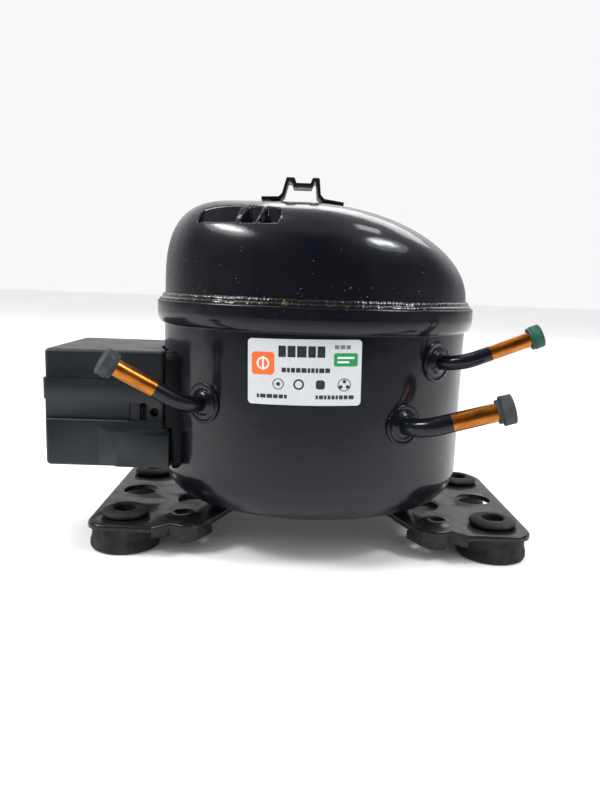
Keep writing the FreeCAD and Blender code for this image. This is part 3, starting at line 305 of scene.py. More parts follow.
def moulded(name, colour, grain=0.32, depth=0.016, rough=0.46, spec=0.5):
    """Satin moulded plastic with a spark-eroded grain."""
    look = Look(name, colour, rough=rough, spec=spec)
    look.colour(look.mix(look.noise(22.0, 3.0), shade(colour, 0.86), shade(colour, 1.16)))
    look.rough(look.ramp(look.noise(9.0, 4.0), 0.3, 0.7, rough - 0.07, rough + 0.08))
    look.bump(look.noise(grain, 2.0), depth)
    look.bump(look.noise(24.0, 2.0), 0.16)
    return look.mat


def copper():
    """Bare drawn copper pipe: length-wise draw marks, rubbed patches and amber tarnish."""
    look = Look("pipe_copper", (0.75, 0.27, 0.04), rough=0.26, metal=1.0, coat=0.4,
                coat_rough=0.14, uv=True)
    streak = look.noise(1.0, 4.0, (0.6, 26.0, 1.0), 0.6)
    stain = look.ramp(look.noise(3.2, 5.0, (1.0, 2.2, 1.0)), 0.42, 0.66)
    warm = look.mix(streak, (0.36, 0.1, 0.004), (0.62, 0.21, 0.015))
    look.colour(look.mix(look.times(stain, 0.75), warm, (0.14, 0.035, 0.004)))
    look.rough(look.ramp(streak, 0.3, 0.75, 0.2, 0.46))
    look.bump(streak, 0.02)
    look.bump(look.ramp(look.noise(1.6, 3.0), 0.6, 0.75), 0.02)
    return look.mat


def metal(name, colour, rough=0.35, size=0.7, depth=0.008):
    """Bare machined, rolled or cast metal with a fine grain."""
    look = Look(name, colour, rough=rough, metal=1.0)
    grain = look.noise(size, 4.0)
    look.colour(look.mix(grain, shade(colour, 0.75), shade(colour, 1.15)))
    look.rough(look.ramp(grain, 0.3, 0.7, max(0.08, rough - 0.1), rough + 0.12))
    look.bump(grain, depth)
    return look.mat


def laminated():
    """Stacked electrical steel: fine sheets one on another."""
    look = Look("lamination", (0.3, 0.3, 0.32), rough=0.42, metal=0.9)
    wave = look.new("TexWave", wave_type="BANDS", bands_direction="Z", Scale=0.32)
    look.link(look.place(0.5), wave.inputs["Vector"])
    look.bump(wave.outputs["Fac"], 0.05)
    look.colour(look.mix(look.noise(6.0, 4.0), (0.2, 0.2, 0.22), (0.38, 0.38, 0.4)))
    return look.mat


def winding():
    """Enamelled copper wire, laid in rings."""
    look = Look("winding_copper", (0.42, 0.13, 0.04), rough=0.3, metal=0.85, coat=0.6)
    wave = look.new("TexWave", wave_type="RINGS", rings_direction="Z", Scale=0.3,
                    Distortion=2.0)
    look.link(look.place(0.9), wave.inputs["Vector"])
    look.bump(wave.outputs["Fac"], 0.35)
    look.colour(look.mix(wave.outputs["Fac"], (0.2, 0.05, 0.02), (0.6, 0.22, 0.07)))
    return look.mat


def film():
    """The label's pale satin film."""
    look = Look("label_film", (0.72, 0.735, 0.74), rough=0.3, coat=0.6, coat_rough=0.1)
    look.colour(look.mix(look.noise(14.0, 3.0), (0.57, 0.595, 0.615), (0.66, 0.68, 0.69)))
    look.rough(look.ramp(look.noise(5.0, 4.0), 0.3, 0.7, 0.22, 0.4))
    look.bump(look.noise(9.0, 2.0), 0.05)
    look.bump(look.noise(0.5, 2.0), 0.002)
    return look.mat


def ink(name, colour):
    """Slightly uneven gloss colour."""
    look = Look(name, colour, rough=0.36, coat=0.5, coat_rough=0.12)
    look.colour(look.mix(look.ramp(look.noise(0.9, 4.0), 0.4, 0.8), colour,
                         shade(colour, 1.2, 0.02)))
    look.bump(look.noise(0.6, 2.0), 0.002)
    return look.mat


LOOKS = {
    "shell_paint": gloss_paint("shell_paint"),
    "pipe_paint": gloss_paint("pipe_paint", dusty=False),
    "weld_paint": weld_paint(),
    "plate_paint": plate_paint(),
    "foot_rubber": rubber("foot_rubber", (0.0055, 0.006, 0.008)),
    "plug_grey": rubber("plug_grey", (0.022, 0.026, 0.027), 0.3, 0.02, 0.66),
    "plug_green": rubber("plug_green", (0.006, 0.055, 0.037), 0.3, 0.02, 0.6),
    "cover_plastic": moulded("cover_plastic", (0.008, 0.0115, 0.0155), rough=0.4, spec=0.4),
    "bracket_paint": moulded("bracket_paint", (0.003, 0.0033, 0.004), 0.3, 0.01, 0.42, 0.12),
    "pipe_copper": copper(),
    "label_film": film(),
    "header_steel": metal("header_steel", (0.52, 0.51, 0.48), 0.34),
    "pin_steel": metal("pin_steel", (0.72, 0.68, 0.6), 0.2, size=0.4),
    "bead_glass": ink("bead_glass", (0.02, 0.07, 0.05)),
    "starter_plastic": moulded("starter_plastic", (0.62, 0.6, 0.53), rough=0.42),
    "protector_black": moulded("protector_black", (0.02, 0.02, 0.022), rough=0.28),
    "lead_red": moulded("lead_red", (0.42, 0.02, 0.015), rough=0.36),
    "screw_brass": metal("screw_brass", (0.72, 0.52, 0.2), 0.26),
    "lamination": laminated(),
    "winding_copper": winding(),
    "cage_aluminium": metal("cage_aluminium", (0.7, 0.71, 0.73), 0.4, size=1.2, depth=0.03),
    "casting": metal("casting", (0.2, 0.2, 0.205), 0.55, size=0.8, depth=0.05),
    "steel": metal("steel", (0.55, 0.55, 0.56), 0.3),
    "spring_steel": metal("spring_steel", (0.45, 0.45, 0.47), 0.28),
    "reed_steel": metal("reed_steel", (0.6, 0.6, 0.63), 0.2),
    "gasket_grey": rubber("gasket_grey", (0.12, 0.13, 0.14)),
    "muffler_plastic": moulded("muffler_plastic", (0.7, 0.67, 0.58)),
    "cap_plastic": moulded("cap_plastic", (0.66, 0.65, 0.6)),
    "line_steel": metal("line_steel", (0.5, 0.4, 0.32), 0.3),
    "connector_plastic": moulded("connector_plastic", (0.7, 0.69, 0.64)),
}
# A glossy strip lighter than the cover: its lighter colour is a painted highlight along the
# ledge's edge.
COVER_EDGE_HIGHLIGHT = moulded("cover_edge_painted_highlight", (0.05, 0.055, 0.06), rough=0.22, spec=0.6)
INK_BLACK = ink("ink_black", (0.012, 0.012, 0.013))
INK_GREY = ink("ink_grey", (0.16, 0.16, 0.17))
INK_GREEN = ink("ink_green", (0.0, 0.26, 0.075))
INK_ORANGE = ink("ink_orange", (0.85, 0.13, 0.012))
INK_WHITE = ink("ink_white", (0.76, 0.77, 0.77))


# ---- finish of the CAD nodes ----
SLOT_OF = {s["node"]: s["material_slot"] for s in frame["record"]["subparts"]}
BEVELS = {"terminal_cover": 0.45, "terminal_bracket": 0.4, "tray_clip": 0.25,
          "ptc_starter": 0.35, "overload_protector": 0.25, "base_plate_left": 0.3,
          "base_plate_right": 0.3}                          # edge widths in millimetres
CAD_SHARP, SKIN_SHARP, BEVEL_ANGLE = 24.0, 38.0, 26.0       # degrees between two faces
WELD_GAP = 0.00001                                          # metres


def sharpen(mesh, degrees):
    """Smooth shading, apart from edges sharper than the angle."""
    for polygon in mesh.polygons:
        polygon.use_smooth = True
    mesh.set_sharp_from_angle(angle=math.radians(degrees))


def dress_nodes():
    """Gives every CAD node the finish of its slot, smooth shading and, outside, softer edges."""
    for name, obj in NODES.items():
        obj.data.materials.clear()
        obj.data.materials.append(LOOKS[SLOT_OF[name]])
        sharpen(obj.data, CAD_SHARP)
        if name in BEVELS:
            weld = obj.modifiers.new("weld", "WELD")
            weld.merge_threshold = WELD_GAP
            bevel = obj.modifiers.new("bevel", "BEVEL")
            bevel.width, bevel.segments = BEVELS[name] * MM, 2
            bevel.limit_method, bevel.angle_limit = "ANGLE", math.radians(BEVEL_ANGLE)
            bevel.harden_normals = True


dress_nodes()


# ---- mesh helpers ----
def piece(name, verts, faces, material, body, smooth=True, uvs=None):
    """A new mesh object, in millimetres, riding on a body."""
    mesh = bpy.data.meshes.new(name)
    mesh.from_pydata([tuple(c * MM for c in v) for v in verts], [], faces)
    mesh.materials.append(material)
    if uvs is not None:
        layer = mesh.uv_layers.new(name="UVMap")
        for loop in mesh.loops:
            layer.data[loop.index].uv = uvs[loop.vertex_index]
    mesh.validate()
    if smooth:
        sharpen(mesh, SKIN_SHARP)
    obj = add(name, mesh)
    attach(obj, body)
    return obj


def grid_faces(rows, columns, start=0):
    """Quads between closed rings of `columns` points, one ring after another."""
    faces = []
    for i in range(rows - 1):
        for j in range(columns):
            k = (j + 1) % columns
            a, b = start + i * columns, start + (i + 1) * columns
            faces.append((a + j, a + k, b + k, b + j))
    return faces


def lathe(profile, centre, axis, segments=96):
    """A solid turned from (radius, height) points about an axis; a radius of 0 closes it."""
    centre, axis = Vector(centre), Vector(axis).normalized()
    side = axis.orthogonal().normalized()
    other = axis.cross(side)
    verts, rings = [], []
    for r, h in profile:
        if r <= 1e-9:
            rings.append([len(verts)])
            verts.append(centre + axis * h)
            continue
        rings.append(list(range(len(verts), len(verts) + segments)))
        for j in range(segments):
            t = 2 * math.pi * j / segments
            verts.append(centre + axis * h + (side * math.cos(t) + other * math.sin(t)) * r)
    faces = []
    for low, high in zip(rings, rings[1:]):
        for j in range(segments):
            k = (j + 1) % segments
            if len(low) == 1:
                faces.append((low[0], high[k], high[j]))
            elif len(high) == 1:
                faces.append((low[j], low[k], high[0]))
            else:
                faces.append((low[j], low[k], high[k], high[j]))
    if profile[0] == profile[-1]:
        last, first = rings[-1], rings[0]
        swap = dict(zip(last, first))
        faces = [tuple(swap.get(v, v) for v in f) for f in faces]
        verts = verts[:last[0]]
    return [tuple(v) for v in verts], faces


def rounded(points, radius, steps=5):
    """Rounds the corners of an open polyline of (a, b) points by `radius`, or by one each."""
    out = [points[0]]
    for i in range(1, len(points) - 1):
        p, q, s = (Vector(points[i + k]) for k in (-1, 0, 1))
        r = radius[i] if isinstance(radius, dict) and i in radius else (
            0.0 if isinstance(radius, dict) else radius)
        a, b = (p - q), (s - q)
        if r <= 0 or a.length < 1e-6 or b.length < 1e-6:
            out.append(tuple(q))
            continue
        half = a.angle(b) / 2
        cut = min(r / max(1e-6, math.tan(half)), a.length * 0.49, b.length * 0.49)
        for k in range(steps + 1):
            t = k / steps
            out.append(tuple(q + a.normalized() * cut * (1 - t) ** 2
                             + b.normalized() * cut * t ** 2))
    out.append(points[-1])
    return out


def smoothstep(x, low, high):
    """0 below low, 1 above high, and a smooth step between."""
    t = np.clip((x - low) / (high - low), 0.0, 1.0)
    return t * t * (3 - 2 * t)


# ---- shell ----
ROUND = 384                                     # points round the lower shell
DOME_ROUND, DOME_RINGS = 1440, 70               # points round the dome and rings up it
DOME_SWEEP, DOME_THIN = 0.4925 * math.pi, 3     # every third point stays where it isn't dense
DENSE = (-0.98, 0.62)                           # the dense part of its front, as a cosine
FINE_RINGS = (-1.6, 1.8, 24)                    # extra rings about the recess's floor
COVER_THICK = 2.4
HOLE_R, HOLE_REACH = 11.0, 8.0                  # the opening behind the terminal header
BAY_EDGE = (0.3, 0.6)                           # how far a bay's side fades out and in
FLOOR_EDGE = (0.35, 0.55)                       # the same below and above the recess's floor
RECESS_RISE, RECESS_SOFT = 16.0, 0.6            # height the wall leans over; its soft edge
RECESS_LOOP = (-1.0, 0.3)                       # the fade across the recess's outline


def outside(t, offset, z):
    """A point at a distance outside the body's ellipse, measured along its normal."""
    c, s = math.cos(t), math.sin(t)
    normal = Vector((c / BODY_A, s / BODY_B)).normalized()
    return BODY_A * c + normal.x * offset, BODY_B * s + normal.y * offset, z


def front(x):
    """The body's front at x: its y and its normal."""
    y = -BODY_B * math.sqrt(1 - (x / BODY_A) ** 2)
    return y, Vector((x / BODY_A ** 2, y / BODY_B ** 2, 0)).normalized()


def make_lower_shell():
    """The cup, its flare and rim, as rings of (distance outside the ellipse, height)."""
    outer = [(-BOTTOM_R + BOTTOM_R * math.sin(a), BOTTOM_Z + BOTTOM_R - BOTTOM_R * math.cos(a))
             for a in np.linspace(0, math.pi / 2, 25)]
    outer += [(0.0, float(z)) for z in np.linspace(38.0, 100.4, 22)]
    outer += rounded([(0.0, 100.6), (0.03, 101.15), (0.5, 101.2)], 0.5, 5)
    outer += [(0.5 + 2.8 * math.sin(a), 107.4 - 6.2 * math.cos(a))
              for a in np.linspace(0.06, math.pi / 2, 16)]
    outer += rounded([(RIM_GROW, 109.0), (RIM_GROW, RIM_TOP), (RIM_GROW - 2.4, RIM_TOP)], 1.2, 6)
    inner = [(-0.2, RIM_TOP), (-0.2, SOCKET_Z), (-WALL, SOCKET_Z)]
    r = BOTTOM_R - WALL
    inner += [(-WALL, z) for z in (80.0, 60.0)]
    inner += [(-WALL - r + r * math.cos(a), BOTTOM_Z + BOTTOM_R - r * math.sin(a))
              for a in np.linspace(0, math.pi / 2, 9)]
    rings = [(share, -BOTTOM_R, BOTTOM_Z) for share in (0.25, 0.5, 0.75)]
    rings += [(1.0, offset, z) for offset, z in outer + inner]
    rings += [(share, -BOTTOM_R, BOTTOM_Z + WALL) for share in (0.6, 0.25)]
    verts = [(x * share, y * share, z) for share, offset, height in rings
             for x, y, z in (outside(2 * math.pi * j / ROUND, offset, height)
                             for j in range(ROUND))]
    faces = grid_faces(len(rings), ROUND)
    last = (len(rings) - 1) * ROUND
    verts += [(0, 0, BOTTOM_Z), (0, 0, BOTTOM_Z + WALL)]
    for j in range(ROUND):
        k = (j + 1) % ROUND
        faces.append((len(verts) - 2, k, j))
        faces.append((len(verts) - 1, last + j, last + k))
    shell = piece("shell_lower_skin", verts, faces, LOOKS["shell_paint"], "shell")
    lo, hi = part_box("terminal_header")
    hole_verts, hole_faces = lathe([(0.0, -HOLE_REACH), (HOLE_R, -HOLE_REACH),
                                    (HOLE_R, HOLE_REACH), (0.0, HOLE_REACH)],
                                   (-BODY_A, (lo.y + hi.y) / 2 / MM, (lo.z + hi.z) / 2 / MM),
                                   (1, 0, 0), 64)
    cut_hole(shell, hole_verts, hole_faces)
    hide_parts("lower_shell")


def cut_hole(obj, verts, faces):
    """Cuts a plug shape out of obj for good."""
    mesh = bpy.data.meshes.new("cutter")
    mesh.from_pydata([tuple(c * MM for c in v) for v in verts], [], faces)
    cutter = add("cutter", mesh)
    modifier = obj.modifiers.new("hole", "BOOLEAN")
    modifier.operation, modifier.solver, modifier.object = "DIFFERENCE", "EXACT", cutter
    depsgraph = bpy.context.evaluated_depsgraph_get()
    made = bpy.data.meshes.new_from_object(obj.evaluated_get(depsgraph))
    obj.modifiers.clear()
    obj.data = made
    bpy.data.objects.remove(cutter)
    sharpen(made, SKIN_SHARP)


def dome_height(x):
    """Height of the dome's ridge over each x."""
    h = np.full_like(x, DOME_TOP)
    for centre, base, n, side in ((*DOME_LEFT, -1), (*DOME_RIGHT, 1)):
        share = np.clip(side * (x - centre) / (COVER_A + side * -centre), 0.0, 1.0)
        part = base + (DOME_TOP - base) * (1 - share ** n) ** (1 / n)
        h = np.where(share > 0, part, h)
    return h


def dome_end(z, side):
    """The dome's end at height z: side is -1 for the left and 1 for the right."""
    centre, base, n = DOME_LEFT if side < 0 else DOME_RIGHT
    share = np.clip((z - base) / (DOME_TOP - base), 0.0, 1.0)
    return centre + side * (COVER_A - side * centre) * (1 - share ** n) ** (1 / n)


def press_recess(points):
    """Pushes the dome's skin back to the leaning wall of its recess, bay by bay."""
    turn = math.radians(RECESS["turn"])
    rel = points - np.array([RECESS["x"], RECESS["y"], 0.0])
    u_dir = np.array([math.cos(turn), -math.sin(turn), 0.0])
    n_dir = np.array([-math.sin(turn), -math.cos(turn), 0.0])
    u, n, z = rel @ u_dir, rel @ n_dir, points[:, 2]
    wall = RECESS["low"] + (RECESS["high"] - RECESS["low"]) * (z - RECESS["floor"]) / RECESS_RISE
    inside = np.zeros_like(u)
    for u0, u1 in RECESS["bays"]:
        bay = (smoothstep(u, u0 - BAY_EDGE[0], u0 + BAY_EDGE[1])
               * (1 - smoothstep(u, u1 - BAY_EDGE[1], u1 + BAY_EDGE[0])))
        inside = np.maximum(inside, bay)
    inside = inside * smoothstep(z, RECESS["floor"] - FLOOR_EDGE[0],
                                 RECESS["floor"] + FLOOR_EDGE[1])
    left, right, corner = RECESS["bays"][0][0], RECESS["bays"][-1][1], RECESS["corner"]
    side = np.maximum(np.maximum(left + corner - u, u - right + corner), 0.0)
    rise = np.maximum(z - RECESS["top"] + corner, 0.0)
    inside = inside * (1 - smoothstep(np.hypot(side, rise) - corner, *RECESS_LOOP))
    depth = np.maximum(n - wall, 0.0)
    depth = np.where(depth < RECESS_SOFT, depth * depth / (2 * RECESS_SOFT),
                     depth - RECESS_SOFT / 2)
    return points - (depth * inside)[:, None] * n_dir


def make_upper_shell():
    """The dome from level rings, closer together where the recess needs them."""
    low = np.linspace(SKIRT_Z, DOME_Z, 7)[:-1]
    lift = DOME_TOP - DOME_Z
    body = DOME_Z + lift * np.sin(np.linspace(0.0, DOME_SWEEP, DOME_RINGS))
    fine = RECESS["floor"] + np.linspace(*FINE_RINGS)
    heights = np.unique(np.round(np.concatenate([body, fine]), 4))
    turn = 2 * math.pi * np.arange(DOME_ROUND) / DOME_ROUND
    dense = (np.cos(turn) > DENSE[0]) & (np.cos(turn) < DENSE[1]) & (np.sin(turn) < 0)
    turn = turn[dense | (np.arange(DOME_ROUND) % DOME_THIN == 0)]
    rings = []
    for z in low:
        rings.append(np.stack([COVER_A * np.cos(turn), COVER_B * np.sin(turn),
                               np.full_like(turn, z)], 1))
    for z in heights:
        x0, x1 = dome_end(z, -1), dome_end(z, 1)
        x = (x0 + x1) / 2 + (x1 - x0) / 2 * np.cos(turn)
        depth = COVER_B * np.sqrt(np.clip(1 - (x / COVER_A) ** 2, 0, 1))
        rise = np.clip((z - DOME_Z) / np.maximum(1e-9, dome_height(x) - DOME_Z), 0.0, 1.0)
        y = depth * np.clip(1 - rise ** DOME_ARCH_N, 0.0, 1.0) ** (1 / DOME_ARCH_N)
        ring = np.stack([x, y * np.sign(np.sin(turn) + 1e-12), np.full_like(x, z)], 1)
        rings.append(press_recess(ring))
    count = len(turn)
    verts = np.concatenate(rings).tolist()
    faces = grid_faces(len(rings), count)
    last = rings[-1]
    start = (len(rings) - 1) * count
    for share in (0.7, 0.4, 0.15):
        centre = last.mean(0)
        ring = centre + (last - centre) * share
        ring[:, 2] = heights[-1] + (DOME_TOP - heights[-1]) * (1 - share ** 3)
        verts += ring.tolist()
    faces += grid_faces(4, count, start=start)
    tip = len(verts)
    verts.append([last[:, 0].mean(), last[:, 1].mean(), DOME_TOP])
    edge = tip - count
    faces += [(edge + j, edge + (j + 1) % count, tip) for j in range(count)]
    shell = piece("shell_upper_skin", verts, faces, LOOKS["shell_paint"], "shell")
    thick = shell.modifiers.new("thickness", "SOLIDIFY")
    thick.thickness, thick.offset = COVER_THICK * MM, -1.0
    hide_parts("upper_shell")


SEAM_ROUND = 1800
SEAM_WAVES = ((3, 0.1), (11, 0.1), (29, 0.1), (67, 0.09), (151, 0.07), (283, 0.05))
# The bead's section, point by point: distance outside the body, with its shares of the swell and
# the sag, then height, with its share of the sag
SEAM_SECTION = (
    (-0.25, 0.0, 0.0, 111.9, 0.0), (2.0, 0.3, 0.0, 111.92, 0.0), (2.22, 0.5, 0.0, 112.25, 0.0),
    (2.05, 0.5, 0.0, 112.75, 0.3), (1.5, 0.4, 0.0, 113.1, 0.3), (1.12, 0.0, 0.2, 113.35, 0.25),
    (1.02, 0.0, 0.4, 113.8, 0.4), (0.85, 0.0, 0.5, 114.35, 0.5), (0.45, 0.0, 0.4, 114.8, 0.6),
    (-0.05, 0.0, 0.0, 115.05, 0.7), (-0.32, 0.0, 0.0, 114.9, 0.7),
)


def make_seam():
    """The weld bead: a swollen, uneven ribbon between the rim's top and the dome."""
    rng = random.Random(5)
    phases = [(rng.uniform(0, 6.28), n, a) for n, a in SEAM_WAVES]
    columns = []
    for j in range(SEAM_ROUND):
        t = 2 * math.pi * j / SEAM_ROUND
        swell = sum(a * math.sin(n * t + p) for p, n, a in phases)
        sag = sum(a * math.sin(n * t + 2 * p) for p, n, a in phases)
        columns.append([outside(t, o + swell * o_swell + sag * o_sag, z + sag * z_sag)
                        for o, o_swell, o_sag, z, z_sag in SEAM_SECTION])
    per = len(columns[0])
    verts = [p for column in columns for p in column]
    faces = []
    for j in range(SEAM_ROUND):
        a, b = j * per, ((j + 1) % SEAM_ROUND) * per
        for i in range(per):
            k = (i + 1) % per
            faces.append((a + i, b + i, b + k, a + k))
    bead = piece("seam_weld_bead", verts, faces, LOOKS["weld_paint"], "shell")
    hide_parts("seam_weld")


make_lower_shell()
make_upper_shell()
make_seam()


# ---- pipes, collars and plugs ----
MOUNTS = {m["name"]: m for m in frame["record"]["mounts"]}
PIPE_INSIDE, PIPE_WALL, PAINT = 4.5, 0.75, 0.03     # reach into the shell, wall, paint's thickness
LEAD_STEPS, BEND_STEPS, END_STEPS, PIPE_ROUND = 8, 25, 40, 64
STEM_LONG, STEM_SLACK, PLUG_DISH = 7.0, 0.8, 0.35


def pipe_route(name):
    """The pipe's centre line, its seat on the shell and the seat's normal, its axis and tip."""
    pipe = PIPES[name]
    mount = MOUNTS[name + "_pipe_end"]
    x = pipe["x"]
    y, out = front(x)
    seat = Vector((x, y, pipe["z"]))
    along = Vector(mount["axis"]).normalized()
    tip = Vector(mount["pos_m"]) / MM + along * mount["dims"]["length_mm"] / 2
    corner = seat + out * pipe["lead"]
    start = seat - out * PIPE_INSIDE
    back, ahead = (start - corner).normalized(), along
    half = back.angle(ahead) / 2
    cut = pipe["bend"] / math.tan(half)
    centre = corner + (back + ahead).normalized() * (pipe["bend"] / math.sin(half))
    a, b = corner + back * cut, corner + ahead * cut
    points = [start + (a - start) * t for t in np.linspace(0, 1, LEAD_STEPS)]
    arm_a, arm_b = a - centre, b - centre
    sweep = arm_a.angle(arm_b)
    for t in np.linspace(0, 1, BEND_STEPS)[1:]:
        points.append(centre + (arm_a * math.sin((1 - t) * sweep)
                                + arm_b * math.sin(t * sweep)) / math.sin(sweep))
    points += [b + (tip - b) * t for t in np.linspace(0, 1, END_STEPS)[1:]]
    return points, seat, out, along, tip


def tube(points, radius, inner):
    """A hollow tube along points: vertices, faces and UVs (round, along), in millimetres."""
    verts, uvs, rings = [], [], []
    side = None
    gone = 0.0
    lines = []
    for i, p in enumerate(points):
        ahead = (points[min(i + 1, len(points) - 1)] - points[max(i - 1, 0)]).normalized()
        side = (side - ahead * side.dot(ahead)).normalized() if side else ahead.orthogonal()
        side.normalize()
        gone += (p - points[i - 1]).length if i else 0.0
        lines.append((p, side.copy(), ahead.cross(side), gone))
    for wall, order in ((radius, lines), (inner, lines[::-1])):
        for p, a, b, d in order:
            rings.append(len(verts))
            for j in range(PIPE_ROUND):
                t = 2 * math.pi * j / PIPE_ROUND
                verts.append(tuple(p + (a * math.cos(t) + b * math.sin(t)) * wall))
                uvs.append((t * radius, d))
    faces = []
    order = rings + rings[:1]
    for a, b in zip(order, order[1:]):
        for j in range(PIPE_ROUND):
            k = (j + 1) % PIPE_ROUND
            faces.append((a + j, a + k, b + k, b + j))
    return verts, faces, uvs


def make_pipe(name):
    """A copper stub, painted up to its bare end, with its collar and plug."""
    pipe = PIPES[name]
    points, seat, out, along, tip = pipe_route(name)
    bare = [p for p in points if (p - tip).length < pipe["bare"]]
    edge = tip - along * pipe["bare"]
    bare = [edge] + bare
    painted = [p for p in points if (p - tip).length > pipe["bare"]] + [edge]
    r = pipe["r"]
    verts, faces, uvs = tube(bare, r - PAINT, r - PIPE_WALL)
    end = piece(name + "_pipe_bare", verts, faces, LOOKS["pipe_copper"], "shell", uvs=uvs)
    verts, faces, uvs = tube(painted, r, r - PIPE_WALL)
    root = piece(name + "_pipe_painted", verts, faces, LOOKS["pipe_paint"], "shell", uvs=uvs)
    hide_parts(name + "_pipe")
    make_collar(name, seat, out)
    make_plug(name, tip, along)


def make_collar(name, seat, out):
    """A stepped ring with a soft fillet of weld and paint where it meets shell and pipe."""
    r = PIPES[name]["r"]
    profile = rounded([(r + 0.05, -1.6), (8.9, -1.6), (8.8, 0.6), (8.0, 0.95), (7.3, 0.6),
                       (6.5, 0.55), (r + 2.0, 0.8), (r + 1.3, 1.7), (r + 0.6, 2.2),
                       (r + 0.02, 2.4), (r + 0.05, -1.6)],
                      {2: 0.5, 3: 0.5, 4: 0.4, 5: 0.3, 6: 0.5, 7: 0.5, 8: 0.35}, 6)
    verts, faces = lathe(profile, seat, out, 96)
    ring = piece(name + "_collar_ring", verts, faces, LOOKS["pipe_paint"], "shell")
    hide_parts(name + "_collar")


def make_plug(name, tip, along):
    """A moulded rubber plug with a thin lip, rounded rims and a shallow dish in its end."""
    pipe = PIPES[name]
    (r1, h1), (r2, h2) = pipe["plug"]
    stem = pipe["r"] - STEM_SLACK
    profile = rounded([(0.0, -STEM_LONG), (stem, -STEM_LONG), (stem, 0.02), (r1, 0.02),
                       (r1 + 0.04, h1 * 0.5), (r1 - 0.1, h1), (r2 - 0.08, h1), (r2, h1 + 1.2),
                       (r2 - 0.12, h2 - 1.4), (r2, h2), (r2 - 1.5, h2), (r2 - 2.1, h2 - PLUG_DISH),
                       (0.0, h2 - PLUG_DISH)],
                      {1: 0.8, 3: 0.4, 4: 1.0, 5: 0.25, 6: 0.25, 7: 0.8, 9: 0.8, 10: 0.4,
                       11: 0.4}, 6)
    verts, faces = lathe(profile, tip, along, 72)
    colour = "plug_green" if name == "discharge" else "plug_grey"
    plug = piece(name + "_plug_rubber", verts, faces, LOOKS[colour], name + "_plug")
    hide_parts(name + "_plug")


for pipe_name in PIPES:
    make_pipe(pipe_name)


# ---- glossy edge of the terminal cover's ledge, coloured lighter than the cover as a painted highlight ----
LEDGE_INSET, LEDGE_LONG, LEDGE_R = 1.5, 37.0, 0.26   # inset from the cover's left end
LEDGE_Y, LEDGE_Z = -33.2, 56.95


def make_cover_ledge_highlight():
    """A glossy edge along the terminal cover's front ledge, lighter in colour than the cover:
    partly a painted highlight, partly real gloss that catches the lamps.
    """
    cover_low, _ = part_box("terminal_cover")
    verts, faces = lathe([(0.0, 0.0), (LEDGE_R, 0.0), (LEDGE_R, LEDGE_LONG), (0.0, LEDGE_LONG)],
                         (cover_low.x / MM + LEDGE_INSET, LEDGE_Y, LEDGE_Z), (1, 0, 0), 24)
    edge = piece("cover_ledge_highlight_strip", verts, faces, COVER_EDGE_HIGHLIGHT, "terminal_cover")


make_cover_ledge_highlight()


# ---- feet ----
# A grommet's section as (radius, height): skirt, groove for the plate, collar and bore
FOOT_PROFILE = ((5.05, 0.0), (15.3, 0.0), (15.8, 0.9), (15.75, 2.8), (15.05, 5.4), (14.95, 7.8),
                (15.2, 11.05), (8.25, 11.05), (8.25, 13.75), (9.6, 13.75), (10.7, 14.8),
                (10.6, 15.7), (9.7, 16.4), (7.4, 17.2), (5.9, 17.2), (5.05, 16.7), (5.05, 0.0))
FOOT_ROUNDING = {1: 0.5, 2: 1.2, 3: 1.5, 4: 2.0, 5: 2.0, 6: 0.4, 9: 0.6, 10: 0.8, 11: 0.8,
                 12: 1.2, 13: 1.2, 14: 0.6, 15: 0.4}


def make_foot(node):
    """A rubber grommet round the middle of its CAD node."""
    lo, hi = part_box(node)
    x, y = (lo.x + hi.x) / 2 / MM, (lo.y + hi.y) / 2 / MM
    verts, faces = lathe(rounded(FOOT_PROFILE, FOOT_ROUNDING, 6), (x, y, 0.0), (0, 0, 1), 96)
    foot = piece(node + "_rubber", verts, faces, LOOKS["foot_rubber"], "shell")
    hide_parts(node)


for foot_node in ("foot_front_left", "foot_front_right", "foot_back_left", "foot_back_right"):
    make_foot(foot_node)


# ---- label ----
LABEL = (-28.9, 17.4, 72.5, 99.5)         # left, right, low and high, before it's turned
LABEL_TURN = math.radians(1.2)            # about its top right corner: the left end is lower
LABEL_CORNER, LABEL_COLUMNS, LABEL_FACES = 1.6, 60, (0.02, 0.25)
PRINT_STEP, PRINT_LIFT, RING_LIFT = 0.8, 0.285, 0.29
# Generic print in shares of the label from its top left. Rows of bars: left, right, top, bottom,
# shortest, longest, gap. Rings: across, down, radius and hole in millimetres.
BLACK_ROWS = ((0.27, 0.70, 0.10, 0.27, 0.05, 0.085, 0.014),
              (0.30, 0.745, 0.43, 0.50, 0.02, 0.05, 0.009),
              (0.08, 0.36, 0.84, 0.90, 0.02, 0.05, 0.009),
              (0.60, 0.94, 0.84, 0.90, 0.02, 0.05, 0.009))
BLACK_RINGS = ((0.27, 0.68, 2.3, 1.95), (0.27, 0.68, 0.8), (0.45, 0.68, 2.2, 1.5),
               (0.85, 0.68, 2.7, 2.35), (0.85, 0.63, 0.75), (0.82, 0.71, 0.75),
               (0.88, 0.71, 0.75))
GREY_ROW = (0.76, 0.90, 0.08, 0.14, 0.03, 0.05, 0.01)


def on_shell(x, z, lift):
    """A point of the turned label, `lift` outside the shell's front."""
    dx, dz = x - LABEL[1], z - LABEL[3]
    x = LABEL[1] + dx * math.cos(LABEL_TURN) - dz * math.sin(LABEL_TURN)
    z = LABEL[3] + dx * math.sin(LABEL_TURN) + dz * math.cos(LABEL_TURN)
    y, out = front(x)
    return tuple(Vector((x, y, z)) + out * lift)


def corner_inset(reach, corner):
    """How far a rounded corner draws the edge in, `reach` millimetres from its end."""
    if reach >= corner:
        return 0.0
    return corner - math.sqrt(max(0.0, corner ** 2 - (corner - reach) ** 2))


